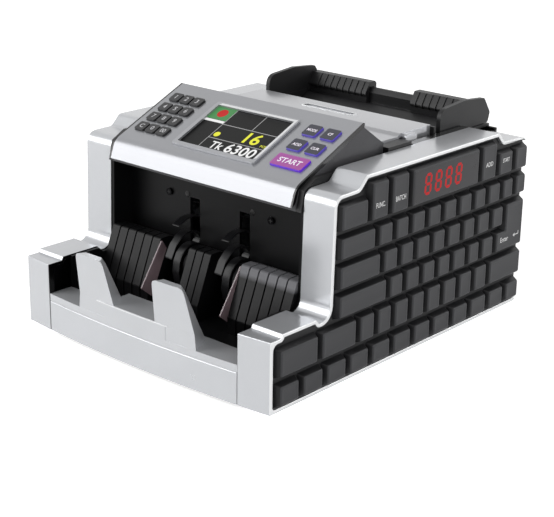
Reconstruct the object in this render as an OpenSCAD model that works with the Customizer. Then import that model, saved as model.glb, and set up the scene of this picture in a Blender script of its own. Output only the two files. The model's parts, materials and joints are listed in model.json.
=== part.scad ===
// Banknote counting machine for a desk: notes go into the black hopper at the top rear, are fed
// one at a time over the feed tyres, and the finned wheels stack them in the front pocket.
// x runs to the right seen from the front, y runs to the back and z up. The drawing frame has
// x = 0 in the middle, y = 0 at the front corners of the side shells and z = 0 under the shells;
// seat() moves every piece so that the part stands on z = 0 with its box centred on the origin.

/* [Case] */
// Width over the two side shells
case_w = 270; // [250:1:330]
// Depth of the side shells
case_d = 322; // [300:1:390]
// Height of the long top of the side shells
case_h = 159; // [150:1:192]
// Width of each side shell
shell_w = 30; // [27:0.5:36]
// Wall of the moulded shells
shell_t = 3; // [2:0.5:3.5]
// Height of the low front part of the side shells
step_h = 60; // [50:1:72]
// Depth of that low front part
step_d = 65.5; // [60:0.5:78]
// Forward bulge of the front at its middle
front_bow = 7.5; // [4:0.5:9]
// Height of the rubber feet
foot_h = 4; // [3:0.5:6]
// Radius of the rubber feet
foot_r = 9; // [7:0.5:12]

/* [Side key panels] */
// Height of the moulded caps above the panel
cap_h = 6; // [5:0.5:7]
// Depth of the panel face below the rim of the shell
panel_sink = 3; // [2:0.5:4]
// Thickness of the panel
panel_t = 2.5; // [2:0.5:3]
// Gap between two caps at their foot
cap_gap = 2.4; // [2:0.2:3.2]
// Inset of a cap's top all round
cap_taper = 2; // [1.5:0.5:2.5]

/* [Stacker] */
// Height of the front bar
bar_h = 26; // [22:1:30]
// Thickness of the low outer floors of the front plate
plate_t = 6; // [5:0.5:7]
// Height of the raised middle block of the front plate
block_h = 44.5; // [41:0.5:48]
// Half width of that block
block_half = 34; // [32:1:40]
// Depth of the front plate behind the corners
plate_d = 20; // [18:0.5:24]
// Height of the prong tips
prong_h = 81.5; // [72:1:92]
// Place of the prong centres from the middle
prong_x = 43.5; // [42:0.5:46]
// Width of a prong at its foot
prong_foot = 41; // [36:1:42]
// Width of a prong at its tip
prong_tip = 33; // [24:1:34]
// Thickness of a prong at its tip
prong_t = 6; // [5:0.5:9]
// Forward lean of the prongs in degrees
prong_lean = 11; // [8:1:16]
// Top of the pocket floor
floor_z = 24; // [20:1:26]
// Wall of the pocket
well_t = 2.5; // [2:0.5:3]
// Depth of the pocket's back wall behind the front corners
well_back = 88; // [84:1:92]
// Height of the ribbed note guides
guide_h = 77; // [72:1:84]
// Radius of the finned stacker wheels
wheel_r = 40; // [33:0.1:42]
// Thickness of a stacker wheel
wheel_t = 8; // [6:0.5:9]
// Place of the stacker wheels from the middle
wheel_x = 27.5; // [25:0.5:29]
// Number of fins on a stacker wheel
fins = 9; // [7:1:10]

/* [Operating panel] */
// Black strip between the panel and each side shell
pod_gap = 5.5; // [4:0.5:7]
// Thickness of the silver fascia
fascia_t = 3; // [2.5:0.5:3.5]
// Run of the sloping face from front to back
slope_run = 78.7; // [76:0.1:84]
// Rise of the sloping face
slope_rise = 34.8; // [28:0.1:42]
// Height of the rounded nose below the slope
nose_h = 14.5; // [12:0.5:17]
// Rounding between the sloping face and the nose
nose_round = 13; // [6:1:14]
// Travel of the push keys
key_travel = 1; // [0.6:0.1:1.2]
// Running gap round each push key
key_gap = 0.3; // [0.25:0.05:0.4]
// Width of the display opening
screen_w = 82.5; // [70:0.5:84]
// Height of the display opening along the slope
screen_h = 53; // [44:0.5:54]
// Height of the display frame above the fascia
frame_h = 2; // [1:0.5:3]

/* [Hopper] */
// Depth of the hopper measured from the back
hopper_d = 82; // [78:1:90]
// Room between the hopper tray and each side shell's inner edge line
tray_gap = 8.2; // [7:0.2:12]
// Room between the top cover and each side shell's inner edge line
cover_gap = 12; // [10:0.5:16]
// Wall of the hopper tray
tray_t = 2.5; // [2:0.5:3]
// Top of the hopper guides above the tray ledge
guide_rise = 26; // [22:1:32]
// Thickness of a hopper guide
guide_t = 4; // [3:0.5:5]
// Inward travel of each hopper guide
guide_travel = 24; // [15:1:24]

/* [Drive] */
// Radius of the shafts
shaft_r = 4; // [3.5:0.5:4.5]
// Running clearance of the shafts in their bushes
shaft_clear = 0.05; // [0.02:0.01:0.08]
// Radius of the feed tyres
feed_r = 20; // [18:0.5:24]
// Radius of the pinch rollers
pinch_r = 9; // [7:0.5:10]
// Radius of the kicker tyres
kicker_r = 21; // [19:0.5:22]
// How far the kicker tyres stand out of the hopper floor
kicker_proud = 1.8; // [1:0.2:2.4]
// Radius of the motor
motor_r = 24; // [20:1:26]
// Radius of the motor pulley
motor_pulley_r = 8; // [7:0.5:9]
// Radius of the feed shaft's pulley
feed_pulley_r = 16; // [14:0.5:17]
// Radius of the kicker shaft's pulley
kicker_pulley_r = 16; // [14:0.5:17]
// Radius of the stacker shaft's pulley
stacker_pulley_r = 24; // [20:0.5:26]
// Thickness of the frame plates
frame_t = 2; // [1.5:0.5:2.5]

/* [Hidden] */

$fn = 48;
eps = 0.01;          // overlap of two shapes that are one piece
past = 1;            // how far a cut runs past a face
slack = 0.3;         // gap between two pieces that lie side by side
fit = 0.1;           // gap round a piece that is held in its hole
silver = "#c4c6c9";
panel_grey = "#a9abaf";
black = "#1b1b1e";
cap_grey = "#414146";
steel = "#9ea3a8";

// ---- places worked out from the sizes ----
half_w = case_w / 2;
bay_half = half_w - shell_w;               // half width between the side shells
pod_half = bay_half - pod_gap;             // half width of the panel and its pod
tray_half = bay_half - tray_gap;
cover_half = bay_half - cover_gap;
bow_r = (half_w * half_w + front_bow * front_bow) / (2 * front_bow);
slope = atan2(slope_rise, slope_run);
nose_y = step_d - 4.5;                     // lip of the fascia
nose_lean = 5;                             // how far the nose slopes back
lip_z = case_h - 9 - nose_h;
nose_a = [nose_y, lip_z];
nose_b = [nose_y + nose_lean, lip_z + nose_h];
peak = nose_b + [slope_run, slope_rise];
pod_floor = lip_z - 3.5;
cover_z = case_h + 6.5;                    // top of the top cover
pod_back = peak.x + 24.2;                  // where the pod meets the top cover
hopper_y = case_d - hopper_d;              // front of the hopper tray
ledge_z = case_h - 6;                      // top of the tray's rear ledge
ledge_y = case_d - 20;                     // front of that ledge
tray_low = [hopper_y + 6, ledge_z - 26];   // low front edge of the hopper floor
floor_slope = atan2(ledge_z - tray_low.y, ledge_y - tray_low.x);
plate_in = bay_half + 2;                   // inner face of a frame plate
plate_out = plate_in + frame_t;
inlet_rim = 1;                             // how far the inlet's flange stands off the back
plate_set = 0.6;                           // how far the front plate lies behind the bow
tip_round = 4.5;                           // rounding of a prong's tip
// The front of the plate and its prongs at a place and height.
function front_y(x, z) = plate_set - front_bow + bow_r - sqrt(bow_r * bow_r - x * x)
                         - max(0, z - block_h) * tan(prong_lean);
prong_set = 0.1;                           // how far a prong's face lies behind the plate's
tip_y = prong_set + front_y(prong_x - prong_tip / 2 + tip_round, prong_h - eps);   // foremost edge
wheel_y = well_back + 9;                   // stacker shaft behind the back wall
wheel_z = floor_z + wheel_r + 4;
feed_y = hopper_y + 2 - feed_r;
feed_z = ledge_z - 37;
nip = 0.4;                                 // gap between feed tyres and pinch rollers
pinch_angle = 125;
pinch_y = feed_y + (feed_r + pinch_r + nip) * cos(pinch_angle);
pinch_z = feed_z + (feed_r + pinch_r + nip) * sin(pinch_angle);
kicker_y = feed_y + feed_r + kicker_r + 4;
kicker_z = tray_low.y + (kicker_y - tray_low.x) * tan(floor_slope)
           - (kicker_r - kicker_proud) / cos(floor_slope);
motor_y = feed_y - 32;
motor_z = 54;
pulley_w = 5;                              // width of one belt
pulley_gap = 1.6;                          // rim between two belts
pulley_x = plate_out + 2.5;                // inner rim of the pulleys, on the left side
belt_t = 1.5;
belt_gap = 0.3;

// ---- outlines ----
function unit(v) = v / norm(v);
// One corner of a path: the point itself, or an arc of radius r that touches both sides.
function corner(a, b, c, r, steps = 6) =
    r <= 0 ? [b] :
    let (u = unit(a - b),
         w = unit(c - b),
         half = acos(max(-1, min(1, u * w))) / 2,
         centre = b + unit(u + w) * r / sin(half),
         from = b + u * r / tan(half) - centre,
         to = b + w * r / tan(half) - centre,
         start = atan2(from.y, from.x),
         sweep = (atan2(to.y, to.x) - start + 540) % 360 - 180)
    [for (i = [0 : steps]) centre + r * [cos(start + sweep * i / steps),
                                         sin(start + sweep * i / steps)]];
// A closed path of [x, y, radius] corners as plain points.
function smooth(path) =
    let (n = len(path))
    [for (i = [0 : n - 1])
        each corner([path[(i + n - 1) % n].x, path[(i + n - 1) % n].y],
                    [path[i].x, path[i].y],
                    [path[(i + 1) % n].x, path[(i + 1) % n].y],
                    path[i][2])];
// The same path moved inwards by d; its corners run counter-clockwise.
function inset(path, d) =
    let (n = len(path))
    [for (i = [0 : n - 1])
        let (a = path[(i + n - 1) % n],
             b = path[i],
             c = path[(i + 1) % n],
             u = unit([b.x - a.x, b.y - a.y]),
             w = unit([c.x - b.x, c.y - b.y]),
             nu = [-u.y, u.x],
             nw = [-w.y, w.x],
             move = (nu + nw) * d / (1 + nu * nw),
             convex = cross(u, w) > 0)
        [b.x + move.x, b.y + move.y,
         b[2] <= 0 ? 0 : max(0.3, convex ? b[2] - d : b[2] + d)]];
// The band that a belt fills round two pulleys, as one closed path of the outer side.
function loop_path(c1, r1, c2, r2, steps = 16) =
    let (d = norm(c2 - c1),
         dir = atan2(c2.y - c1.y, c2.x - c1.x),
         open = acos((r1 - r2) / d))
    concat([for (i = [0 : steps]) let (a = dir + open + (360 - 2 * open) * i / steps)
                c1 + r1 * [cos(a), sin(a)]],
           [for (i = [0 : steps]) let (a = dir - open + 2 * open * i / steps)
                c2 + r2 * [cos(a), sin(a)]]);

// Side profile of the side shells, front bottom corner first.
shell_path = [
    [-front_bow, 0, 0],
    [case_d, 0, 3],
    [case_d, case_h - 10.5, 9],
    [case_d - 34, case_h - 9, 3],
    [case_d - 42, case_h - 0.5, 4],
    [step_d + 39, case_h, 6],
    [step_d + 30, case_h - 9, 6],
    [step_d + 2.5, case_h - 9.5, 9],
    [step_d, step_h - 4, 10],
    [step_d - 12, step_h - 4, 2],
    [step_d - 15.5, step_h, 1.5],
    [13, step_h, 1],
    [11.5, step_h - 3, 0.8],
    [-front_bow, step_h - 3, 0]];
shell_inside = inset(shell_path, shell_t);
// The hollow of a side shell, open at the back: its rear edge lies at the given place.
function hollow_path(back) = concat(
    [[shell_t, shell_t, 3],
     [back, shell_t, 0],
     [back, shell_inside[2].y, 6]],
    [for (i = [3 : len(shell_path) - 2]) shell_inside[i]],
    [[shell_t, step_h - 3 - shell_t, 5]]);

// ---- shared placing ----
// Moves the drawing frame to the part's own frame.
module seat() {
    translate([0, -(case_d + inlet_rim + tip_y) / 2, foot_h])
        children();
}

// Draws an outline of [y, z] points and runs it along x from the given place.
module along_x(x, length) {
    translate([x, 0, 0])
        rotate([90, 0, 90])
            linear_extrude(length)
                children();
}

module both_sides() {
    children();
    mirror([1, 0, 0])
        children();
}

// A round bar along x.
module rod(r, x0, x1, y, z) {
    translate([x0, y, z])
        rotate([0, 90, 0])
            cylinder(r = r, h = x1 - x0);
}

module box(x0, x1, y0, y1, z0, z1) {
    translate([x0, y0, z0])
        cube([x1 - x0, y1 - y0, z1 - z0]);
}

// Everything behind the bowed front face, set back by a given depth.
module behind_bow(back = 0) {
    translate([0, bow_r - front_bow + back, -foot_h])
        cylinder(r = bow_r, h = case_h + foot_h, $fn = 1440);
}

// The sloping panel's own frame: x across, y up the slope, z out of its face.
module on_slope(x, v, depth = 0) {
    translate([0, nose_b.x, nose_b.y])
        rotate([slope, 0, 0])
            translate([x, v, depth])
                children();
}

// ---- case ----
module side_shell() {
    intersection() {
        difference() {
            union() {
                along_x(bay_half, shell_w)
                    polygon(smooth(shell_path));
                along_x(tray_half + 0.7, bay_half - tray_half)
                    intersection() {
                        polygon(smooth(shell_path));
                        translate([hopper_y - 39, case_h - 22])
                            square([hopper_d + 39 - 3, 40]);
                    }
            }
            along_x(0, case_w)
                polygon(smooth(hollow_path(case_d + past)));
        }
        behind_bow();
    }
}

module side_shell_left() {
    color(silver)
        seat()
            mirror([1, 0, 0])
                side_shell();
}

module side_shell_right() {
    color(silver)
        seat()
            side_shell();
}

// Rows of caps, lowest first: the widths of the caps from front to back.
low_rows = [
    [22, 23, 23, 23, 23, 23, 22, 23, 22, 23, 22, 20],
    [45, 43, 20, 19, 20, 19, 20, 20, 20, 20, 50]];
high_rows = [
    [58, 18, 19, 18, 18, 19, 17, 18, 41],
    [50, 19, 18, 19, 18, 19, 18, 19, 18, 29],
    [41, 18, 17, 18, 18, 18, 18, 17, 18, 16, 16],
    [33, 22, 23, 92, 23, 22, 20]];
low_heights = [19, 24];
high_heights = [20, 20, 19, 32];
row_gap = 3.1;
low_from = shell_t + 0.8;
low_to = step_h - 10;
high_to = case_h - 5.5;
cap_front = step_d + 6.4;
cap_back = case_d - 0.6;
display_row = 3;
display_cap = 3;
enter_row = 1;

function sum(list, n) = n <= 0 ? 0 : list[n - 1] + sum(list, n - 1);
// Start and end of entry i when the entries fill the stretch from a to b with equal gaps.
function span(list, i, a, b, gap) =
    let (k = (b - a - gap * (len(list) - 1)) / sum(list, len(list)),
         start = a + k * sum(list, i) + gap * i)
    [start, start + k * list[i]];
function low_y(row, i) = span(low_rows[row], i, 2 * shell_t + 0.5, cap_back, cap_gap);
function high_y(row, i) = span(high_rows[row], i, cap_front, cap_back, cap_gap);
function low_z(row) = span(low_heights, row, low_from, low_to, row_gap + 1);
function high_z(row) = span(high_heights, row, low_to + row_gap, high_to, row_gap);
// Highest place for a cap under the stepped top of the shell.
function roof(y) =
    y.x < step_d + 37 || y.y > case_d - 36 ? case_h - 16 : high_to;

// One moulded cap between y.x..y.y and z.x..z.y that stands on the panel face.
module cap(y, z) {
    size = [y.y - y.x, z.y - z.x];
    translate([half_w - panel_sink - eps, (y.x + y.y) / 2, (z.x + z.y) / 2])
        rotate([90, 0, 90])
            linear_extrude(cap_h + eps, slices = 1, segments = 4, scale = [1 - 2 * cap_taper / size.x,
                                                 1 - 2 * cap_taper / size.y])
                square(size, center = true);
}

module key_panel() {
    along_x(half_w - panel_sink - panel_t, panel_t)
        polygon(smooth(inset(hollow_path(case_d), fit)));
    // the panel's rear wall closes the back of the shell
    along_x(bay_half + slack, half_w - panel_sink - panel_t - bay_half - slack + eps)
        intersection() {
            polygon(smooth(inset(hollow_path(case_d), fit)));
            translate([case_d - shell_t, 0])
                square([shell_t, case_h]);
        }
    for (row = [0 : len(low_rows) - 1])
        for (i = [0 : len(low_rows[row]) - 1])
            cap(low_y(row, i), low_z(row));
    for (row = [0 : len(high_rows) - 1])
        for (i = [0 : len(high_rows[row]) - 1]) {
            y = high_y(row, i);
            tall = row == enter_row && i == len(high_rows[row]) - 1;
            bottom = tall ? high_z(row - 1).x : high_z(row).x;
            cap(y, [bottom, min(high_z(row).y, roof(y))]);
        }
}

window_rim = 3.5;
window_t = 1.2;
// The display window's place in the right-hand panel: [y0, y1, z0, z1].
function window_box() =
    let (y = high_y(display_row, display_cap),
         z = high_z(display_row))
    [y.x + window_rim, y.y - window_rim, z.x + window_rim, z.y - window_rim];

module key_panel_left() {
    color(cap_grey)
        seat()
            mirror([1, 0, 0])
                key_panel();
}

module key_panel_right() {
    w = window_box();
    top = half_w - panel_sink + cap_h;
    color(cap_grey)
        seat()
            difference() {
                key_panel();
                box(top - window_t, top + past, w[0], w[1], w[2], w[3]);
            }
}

module side_display_window() {
    w = window_box();
    top = half_w - panel_sink + cap_h;
    color("#2a1214")
        seat()
            box(top - window_t, top, w[0] + fit, w[1] - fit, w[2] + fit, w[3] - fit);
}

bar_back = 8;
module front_bar() {
    color(silver)
        seat()
            difference() {
                intersection() {
                    box(-bay_half + slack, bay_half - slack, -front_bow, bar_back, 0, bar_h);
                    behind_bow();
                }
                intersection() {
                    box(-bay_half + slack + shell_t, bay_half - slack - shell_t,
                        -front_bow, bar_back + past, -past, bar_h - shell_t);
                    behind_bow(shell_t);
                }
            }
}

tray_front = bar_back + slack;
tray_rim = 6;
module base_tray() {
    inner = bay_half - slack;
    color(black)
        seat()
            difference() {
                union() {
                    box(-inner, inner, tray_front, case_d - shell_t - slack, 0, shell_t);
                    for (side = [-1, 1])
                        box(side * (inner - 1) - 1, side * (inner - 1) + 1,
                            tray_front, case_d - shell_t - slack, shell_t - eps, tray_rim);
                    for (x = board_posts_x)
                        for (y = board_posts_y)
                            translate([x, y, shell_t - eps])
                                cylinder(r = post_r, h = board_z - shell_t + eps);
                }
                for (at = foot_places())
                    translate([at.x, at.y, -past])
                        cylinder(r = peg_r + fit, h = shell_t + 2 * past);
            }
}

foot_inset = 22;
peg_r = 3;
function foot_places() = [for (x = [-1, 1]) for (y = [30, case_d - 30])
                              [x * (bay_half - foot_inset), y]];
module rubber_feet() {
    color("#202022")
        seat()
            for (at = foot_places())
                translate([at.x, at.y, 0]) {
                    translate([0, 0, -foot_h])
                        cylinder(r1 = foot_r - 1, r2 = foot_r, h = foot_h);
                    translate([0, 0, -eps])
                        cylinder(r = peg_r, h = shell_t - 0.5);
                }
}

// ---- stacker ----
pocket_half = bay_half - slack;
// A thin level of a prong: half its width in front and behind, and how far back it reaches.
module prong_level(z, front, behind, back) {
    translate([0, 0, z])
        linear_extrude(eps)
            polygon([[prong_x - front, front_y(prong_x - front, z) + prong_set],
                     [prong_x + front, front_y(prong_x + front, z) + prong_set],
                     [prong_x + behind, back],
                     [prong_x - behind, back]]);
}

prong_behind = 11;      // half width of a prong's back
// A prong stands on the front bar, narrows upwards and backwards and leans forwards.
module prong() {
    tip_back = front_y(prong_x, prong_h) + prong_t;
    hull() {
        prong_level(bar_h, prong_foot / 2 + 2, prong_behind, plate_d - 1);
        prong_level(block_h, prong_foot / 2, prong_behind, plate_d - 10);
    }
    hull() {
        prong_level(block_h, prong_foot / 2, prong_behind, plate_d - 10);
        prong_level(prong_h - tip_round, prong_tip / 2, prong_behind, tip_back + 2);
        prong_level(prong_h - 0.3 * tip_round, prong_tip / 2 - 0.3 * tip_round,
                    prong_behind - 1, tip_back);
        prong_level(prong_h - eps, prong_tip / 2 - tip_round, prong_behind - 2, tip_back);
    }
}

module stacker_front_plate() {
    color(silver)
        seat() {
            intersection() {
                union() {
                    box(-pocket_half, pocket_half, -front_bow, plate_d, bar_h, bar_h + plate_t);
                    box(-block_half, block_half, -front_bow, plate_d, bar_h, block_h);
                }
                behind_bow(plate_set);
            }
            box(-pocket_half, pocket_half, plate_d - shell_t, plate_d,
                floor_z - well_t, bar_h + eps);
            both_sides()
                prong();
        }
}

slot_w = wheel_t + 3;
// The pocket's side wall follows the shell, a little inside its edge.
module well_wall() {
    along_x(pocket_half - well_t, well_t)
        intersection() {
            polygon(smooth(inset(shell_path, 0.8)));
            translate([plate_d + slack, floor_z - well_t])
                square([well_back + well_t - plate_d - slack, pod_floor - slack - floor_z + well_t]);
        }
}

module stacker_well() {
    color(black)
        seat()
            difference() {
                union() {
                    both_sides()
                        well_wall();
                    box(-pocket_half, pocket_half, plate_d + slack, well_back + well_t,
                        floor_z - well_t, floor_z);
                    box(-pocket_half, pocket_half, well_back, well_back + well_t,
                        floor_z - well_t, pod_floor - slack);
                }
                both_sides()
                    box(wheel_x - slot_w / 2, wheel_x + slot_w / 2,
                        well_back - past, well_back + well_t + past,
                        wheel_z - wheel_r - 2, wheel_z + wheel_r + 2);
                for (at = well_screws())
                    translate([at.x, well_back - past, at.y])
                        rotate([-90, 0, 0])
                            cylinder(r = screw_r + fit, h = well_t + 2 * past);
            }
}

guide_in = 45;
guide_ribs = 6;
rib_gap = 1.4;
rib_deep = 3;
guide_path = [
    [well_back - 38, floor_z, 0],
    [well_back, floor_z, 0],
    [well_back, guide_h - 5, 0],
    [well_back - 12, guide_h, 2],
    [well_back - 22, guide_h, 3],
    [well_back - 38, guide_h - 40, 4]];

// A block of upright ribs between x0 and x1 with narrow grooves between them.
module ribbed_guide(x0, x1, ribs) {
    pitch = (x1 - x0 + rib_gap) / ribs;
    along_x(x0, x1 - x0)
        polygon([for (p = inset(guide_path, rib_deep)) [min(p.x, well_back), max(p.y, floor_z)]]);
    for (i = [0 : ribs - 1])
        along_x(x0 + i * pitch, pitch - rib_gap)
            polygon(smooth(guide_path));
}

module stacker_guide_right() {
    color(black)
        seat()
            ribbed_guide(guide_in, pocket_half - well_t - slack, guide_ribs);
}

module stacker_guide_left() {
    color(black)
        seat()
            mirror([1, 0, 0])
                ribbed_guide(guide_in, pocket_half - well_t - slack, guide_ribs);
}

middle_half = 12;
module stacker_guide_middle() {
    color(black)
        seat()
            ribbed_guide(-middle_half, middle_half, 3);
}

deflector_t = 1.5;
module note_deflectors() {
    color("#b9a9ad")
        seat()
            both_sides()
                along_x(guide_in - deflector_t - 0.15, deflector_t)
                    polygon(smooth([[well_back - 46, floor_z + 16, 1],
                                    [well_back - 34, floor_z + 6, 1],
                                    [well_back - 17, guide_h - 9, 1],
                                    [well_back - 22, guide_h - 1, 1]]));
}

fin_steps = 8;
fin_sweep = 62;
fin_root = 8;
hub_r = 10;
function fin_t(k) = 3.2 - 1.6 * k;
function fin_at(k, side) =
    let (r = fin_root + (wheel_r - 0.5 - fin_root) * k,
         a = fin_sweep * k * k + side * fin_t(k) / 2 / r * 180 / PI)
    r * [cos(a), sin(a)];

module stacker_wheel() {
    translate([wheel_x - wheel_t / 2, wheel_y, wheel_z])
        rotate([90, 0, 90])
            difference() {
                linear_extrude(wheel_t) {
                    circle(r = hub_r);
                    for (i = [0 : fins - 1])
                        rotate(i * 360 / fins)
                            polygon(concat(
                                [for (k = [0 : fin_steps]) fin_at(k / fin_steps, -1)],
                                [for (k = [fin_steps : -1 : 0]) fin_at(k / fin_steps, 1)]));
                }
                translate([0, 0, -past])
                    cylinder(r = shaft_r + shaft_clear, h = wheel_t + 2 * past);
            }
}

module stacker_wheel_right() {
    color("#242428")
        seat()
            stacker_wheel();
}

module stacker_wheel_left() {
    color("#242428")
        seat()
            translate([-2 * wheel_x, 0, 0])
                stacker_wheel();
}

// ---- drive ----
module pulley(r, lane, y, z) {
    rod(r, -pulley_x - (lane + 1) * (pulley_w + pulley_gap), -pulley_x - lane * (pulley_w + pulley_gap),
        y, z);
}

shaft_left = -(pulley_x + 2 * (pulley_w + pulley_gap) + 0.6);
shaft_right = plate_out + 2.5;

module stacker_shaft() {
    color(steel)
        seat() {
            rod(shaft_r, shaft_left, shaft_right, wheel_y, wheel_z);
            pulley(stacker_pulley_r, 1, wheel_y, wheel_z);
        }
}

module feed_shaft() {
    color(steel)
        seat() {
            rod(shaft_r, shaft_left, shaft_right, feed_y, feed_z);
            pulley(feed_pulley_r, 0, feed_y, feed_z);
            pulley(feed_pulley_r, 1, feed_y, feed_z);
        }
}

module kicker_shaft() {
    color(steel)
        seat() {
            rod(shaft_r, shaft_left, shaft_right, kicker_y, kicker_z);
            pulley(kicker_pulley_r, 1, kicker_y, kicker_z);
        }
}

feed_x = 30;
feed_w = 16;
kicker_w = 14;
// A tyre pressed on a shaft, with shallow grooves across its tread.
module tyre(r, width, y, z) {
    difference() {
        rod(r, -width / 2, width / 2, y, z);
        rod(shaft_r + shaft_clear, -width, width, y, z);
        for (x = [-width / 5, width / 5])
            difference() {
                rod(r + past, x - 0.6, x + 0.6, y, z);
                rod(r - 0.8, x - past, x + past, y, z);
            }
    }
}

module feed_tyres() {
    color("#7a4a3a")
        seat()
            for (x = [-feed_x, feed_x])
                translate([x, 0, 0])
                    tyre(feed_r, feed_w, feed_y, feed_z);
}

module kicker_tyres() {
    color("#7a4a3a")
        seat()
            for (x = [-feed_x, feed_x])
                translate([x, 0, 0])
                    tyre(kicker_r, kicker_w, kicker_y, kicker_z);
}

module pinch_rollers() {
    color("#303034")
        seat() {
            rod(shaft_r, -plate_out - 2, plate_out + 2, pinch_y, pinch_z);
            for (x = [-feed_x, feed_x])
                rod(pinch_r, x - feed_w / 2, x + feed_w / 2, pinch_y, pinch_z);
        }
}

motor_len = 55;
motor_shaft_r = 2.5;
module motor() {
    color("#8d9196")
        seat()
            difference() {
                union() {
                    rod(motor_r, -plate_in, -plate_in + motor_len, motor_y, motor_z);
                    rod(7, -plate_in + motor_len - eps, -plate_in + motor_len + 4, motor_y, motor_z);
                }
                rod(motor_shaft_r + shaft_clear, -plate_in - past, -plate_in + 14, motor_y, motor_z);
            }
}

module motor_pulley() {
    color(steel)
        seat() {
            rod(motor_shaft_r, shaft_left, -plate_in + 12, motor_y, motor_z);
            pulley(motor_pulley_r, 0, motor_y, motor_z);
            pulley(motor_pulley_r, 1, motor_y, motor_z);
        }
}

// A flat belt round two pulleys, a hair off their rims.
module belt(lane, c1, r1, c2, r2) {
    along_x(-pulley_x - (lane + 1) * (pulley_w + pulley_gap) + pulley_gap / 2, pulley_w)
        difference() {
            polygon(loop_path(c1, r1 + belt_gap + belt_t, c2, r2 + belt_gap + belt_t));
            polygon(loop_path(c1, r1 + belt_gap, c2, r2 + belt_gap));
        }
}

module drive_belts() {
    motor_at = [motor_y, motor_z];
    feed_at = [feed_y, feed_z];
    color("#2b2b2b")
        seat() {
            belt(0, motor_at, motor_pulley_r, feed_at, feed_pulley_r);
            belt(1, feed_at, feed_pulley_r, [kicker_y, kicker_z], kicker_pulley_r);
            belt(1, [wheel_y, wheel_z], stacker_pulley_r, motor_at, motor_pulley_r);
        }
}

bush_r = 6;
bush_flange = 8.5;
bush_flange_t = 1.2;
function shaft_places() = [[wheel_y, wheel_z], [feed_y, feed_z], [kicker_y, kicker_z],
                           [pinch_y, pinch_z]];
module shaft_bearings() {
    color("#b08d57")
        seat()
            both_sides()
                for (at = shaft_places())
                    difference() {
                        union() {
                            rod(bush_r, plate_in, plate_out, at.x, at.y);
                            rod(bush_flange, plate_out, plate_out + bush_flange_t, at.x, at.y);
                        }
                        rod(shaft_r + shaft_clear, plate_in - past,
                            plate_out + bush_flange_t + past, at.x, at.y);
                    }
}

frame_front = step_d + 6.5;
frame_back = case_d - shell_t - 0.05;
frame_top = case_h - 15;
flange = 12;
module frame_plate() {
    difference() {
        union() {
            along_x(plate_in, frame_t)
                polygon(smooth([[frame_front, shell_t, 0],
                                [frame_back, shell_t, 0],
                                [frame_back, frame_top, 10],
                                [frame_front, frame_top, 10]]));
            box(plate_out - flange, plate_out, frame_back - frame_t, frame_back,
                tray_rim + slack, frame_top - 10);
        }
        for (at = shaft_places())
            rod(bush_r + shaft_clear, plate_in - past, plate_out + past, at.x, at.y);
        for (z = rear_screw_z)
            translate([rear_screw_x, frame_back - frame_t - past, z])
                rotate([-90, 0, 0])
                    cylinder(r = screw_r + fit, h = frame_t + 2 * past);
    }
}

module frame_plate_right() {
    color(steel)
        seat()
            frame_plate();
}

module frame_plate_left() {
    color(steel)
        seat()
            difference() {
                mirror([1, 0, 0])
                    frame_plate();
                rod(5, -plate_out - past, -plate_in + past, motor_y, motor_z);
            }
}

// ---- operating panel ----
wedge_path = [
    [nose_a.x, nose_a.y, 0],
    [pod_back, pod_floor, 0],
    [pod_back, cover_z - 1, 0],
    [peak.x, peak.y, 0],
    [nose_b.x, nose_b.y, 0]];
wedge_in = inset(wedge_path, fascia_t);
pod_t = 2.5;
pod_path = [
    [wedge_in[0].x, pod_floor, 0],
    [pod_back, pod_floor, 0],
    [pod_back, cover_z - 1, 0],
    [wedge_in[3].x, wedge_in[3].y, 0],
    [wedge_in[4].x, wedge_in[4].y, 0],
    [wedge_in[0].x, wedge_in[0].y, 0]];
pod_in = inset(pod_path, pod_t);
rise_out = 8;
front_up = unit([pod_in[4].x - pod_in[5].x, pod_in[4].y - pod_in[5].y]) * rise_out;
rear_up = unit([pod_in[3].x - pod_in[2].x, pod_in[3].y - pod_in[2].y]) * rise_out;

module panel_pod() {
    color("#4c4c50")
        seat()
            difference() {
                union() {
                    along_x(-pod_half, 2 * pod_half)
                        polygon([for (p = pod_path) [p.x, p.y]]);
                    both_sides()
                        along_x(pod_half, pocket_half - pod_half)
                            polygon([[wedge_in[0].x, pod_floor],
                                     [pod_back, pod_floor],
                                     [pod_back, case_h - 4],
                                     [nose_b.x + 16, case_h - 4],
                                     [nose_b.x + 3, case_h - 11]]);
                    both_sides()
                        box(cover_half + slack, pocket_half, pod_back - eps, pod_back + cover_step + 2,
                            max(case_h - 14, pinch_z + shaft_r + slack), cover_z - 4);
                }
                along_x(-pod_half + pod_t, 2 * (pod_half - pod_t))
                    polygon([[pod_in[0].x, pod_in[0].y],
                             [pod_in[1].x, pod_in[1].y],
                             [pod_in[2].x, pod_in[2].y],
                             [pod_in[3].x, pod_in[3].y] + rear_up,
                             [pod_in[4].x, pod_in[4].y] + front_up,
                             [pod_in[4].x, pod_in[4].y],
                             [pod_in[5].x, pod_in[5].y]]);
            }
}

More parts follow.
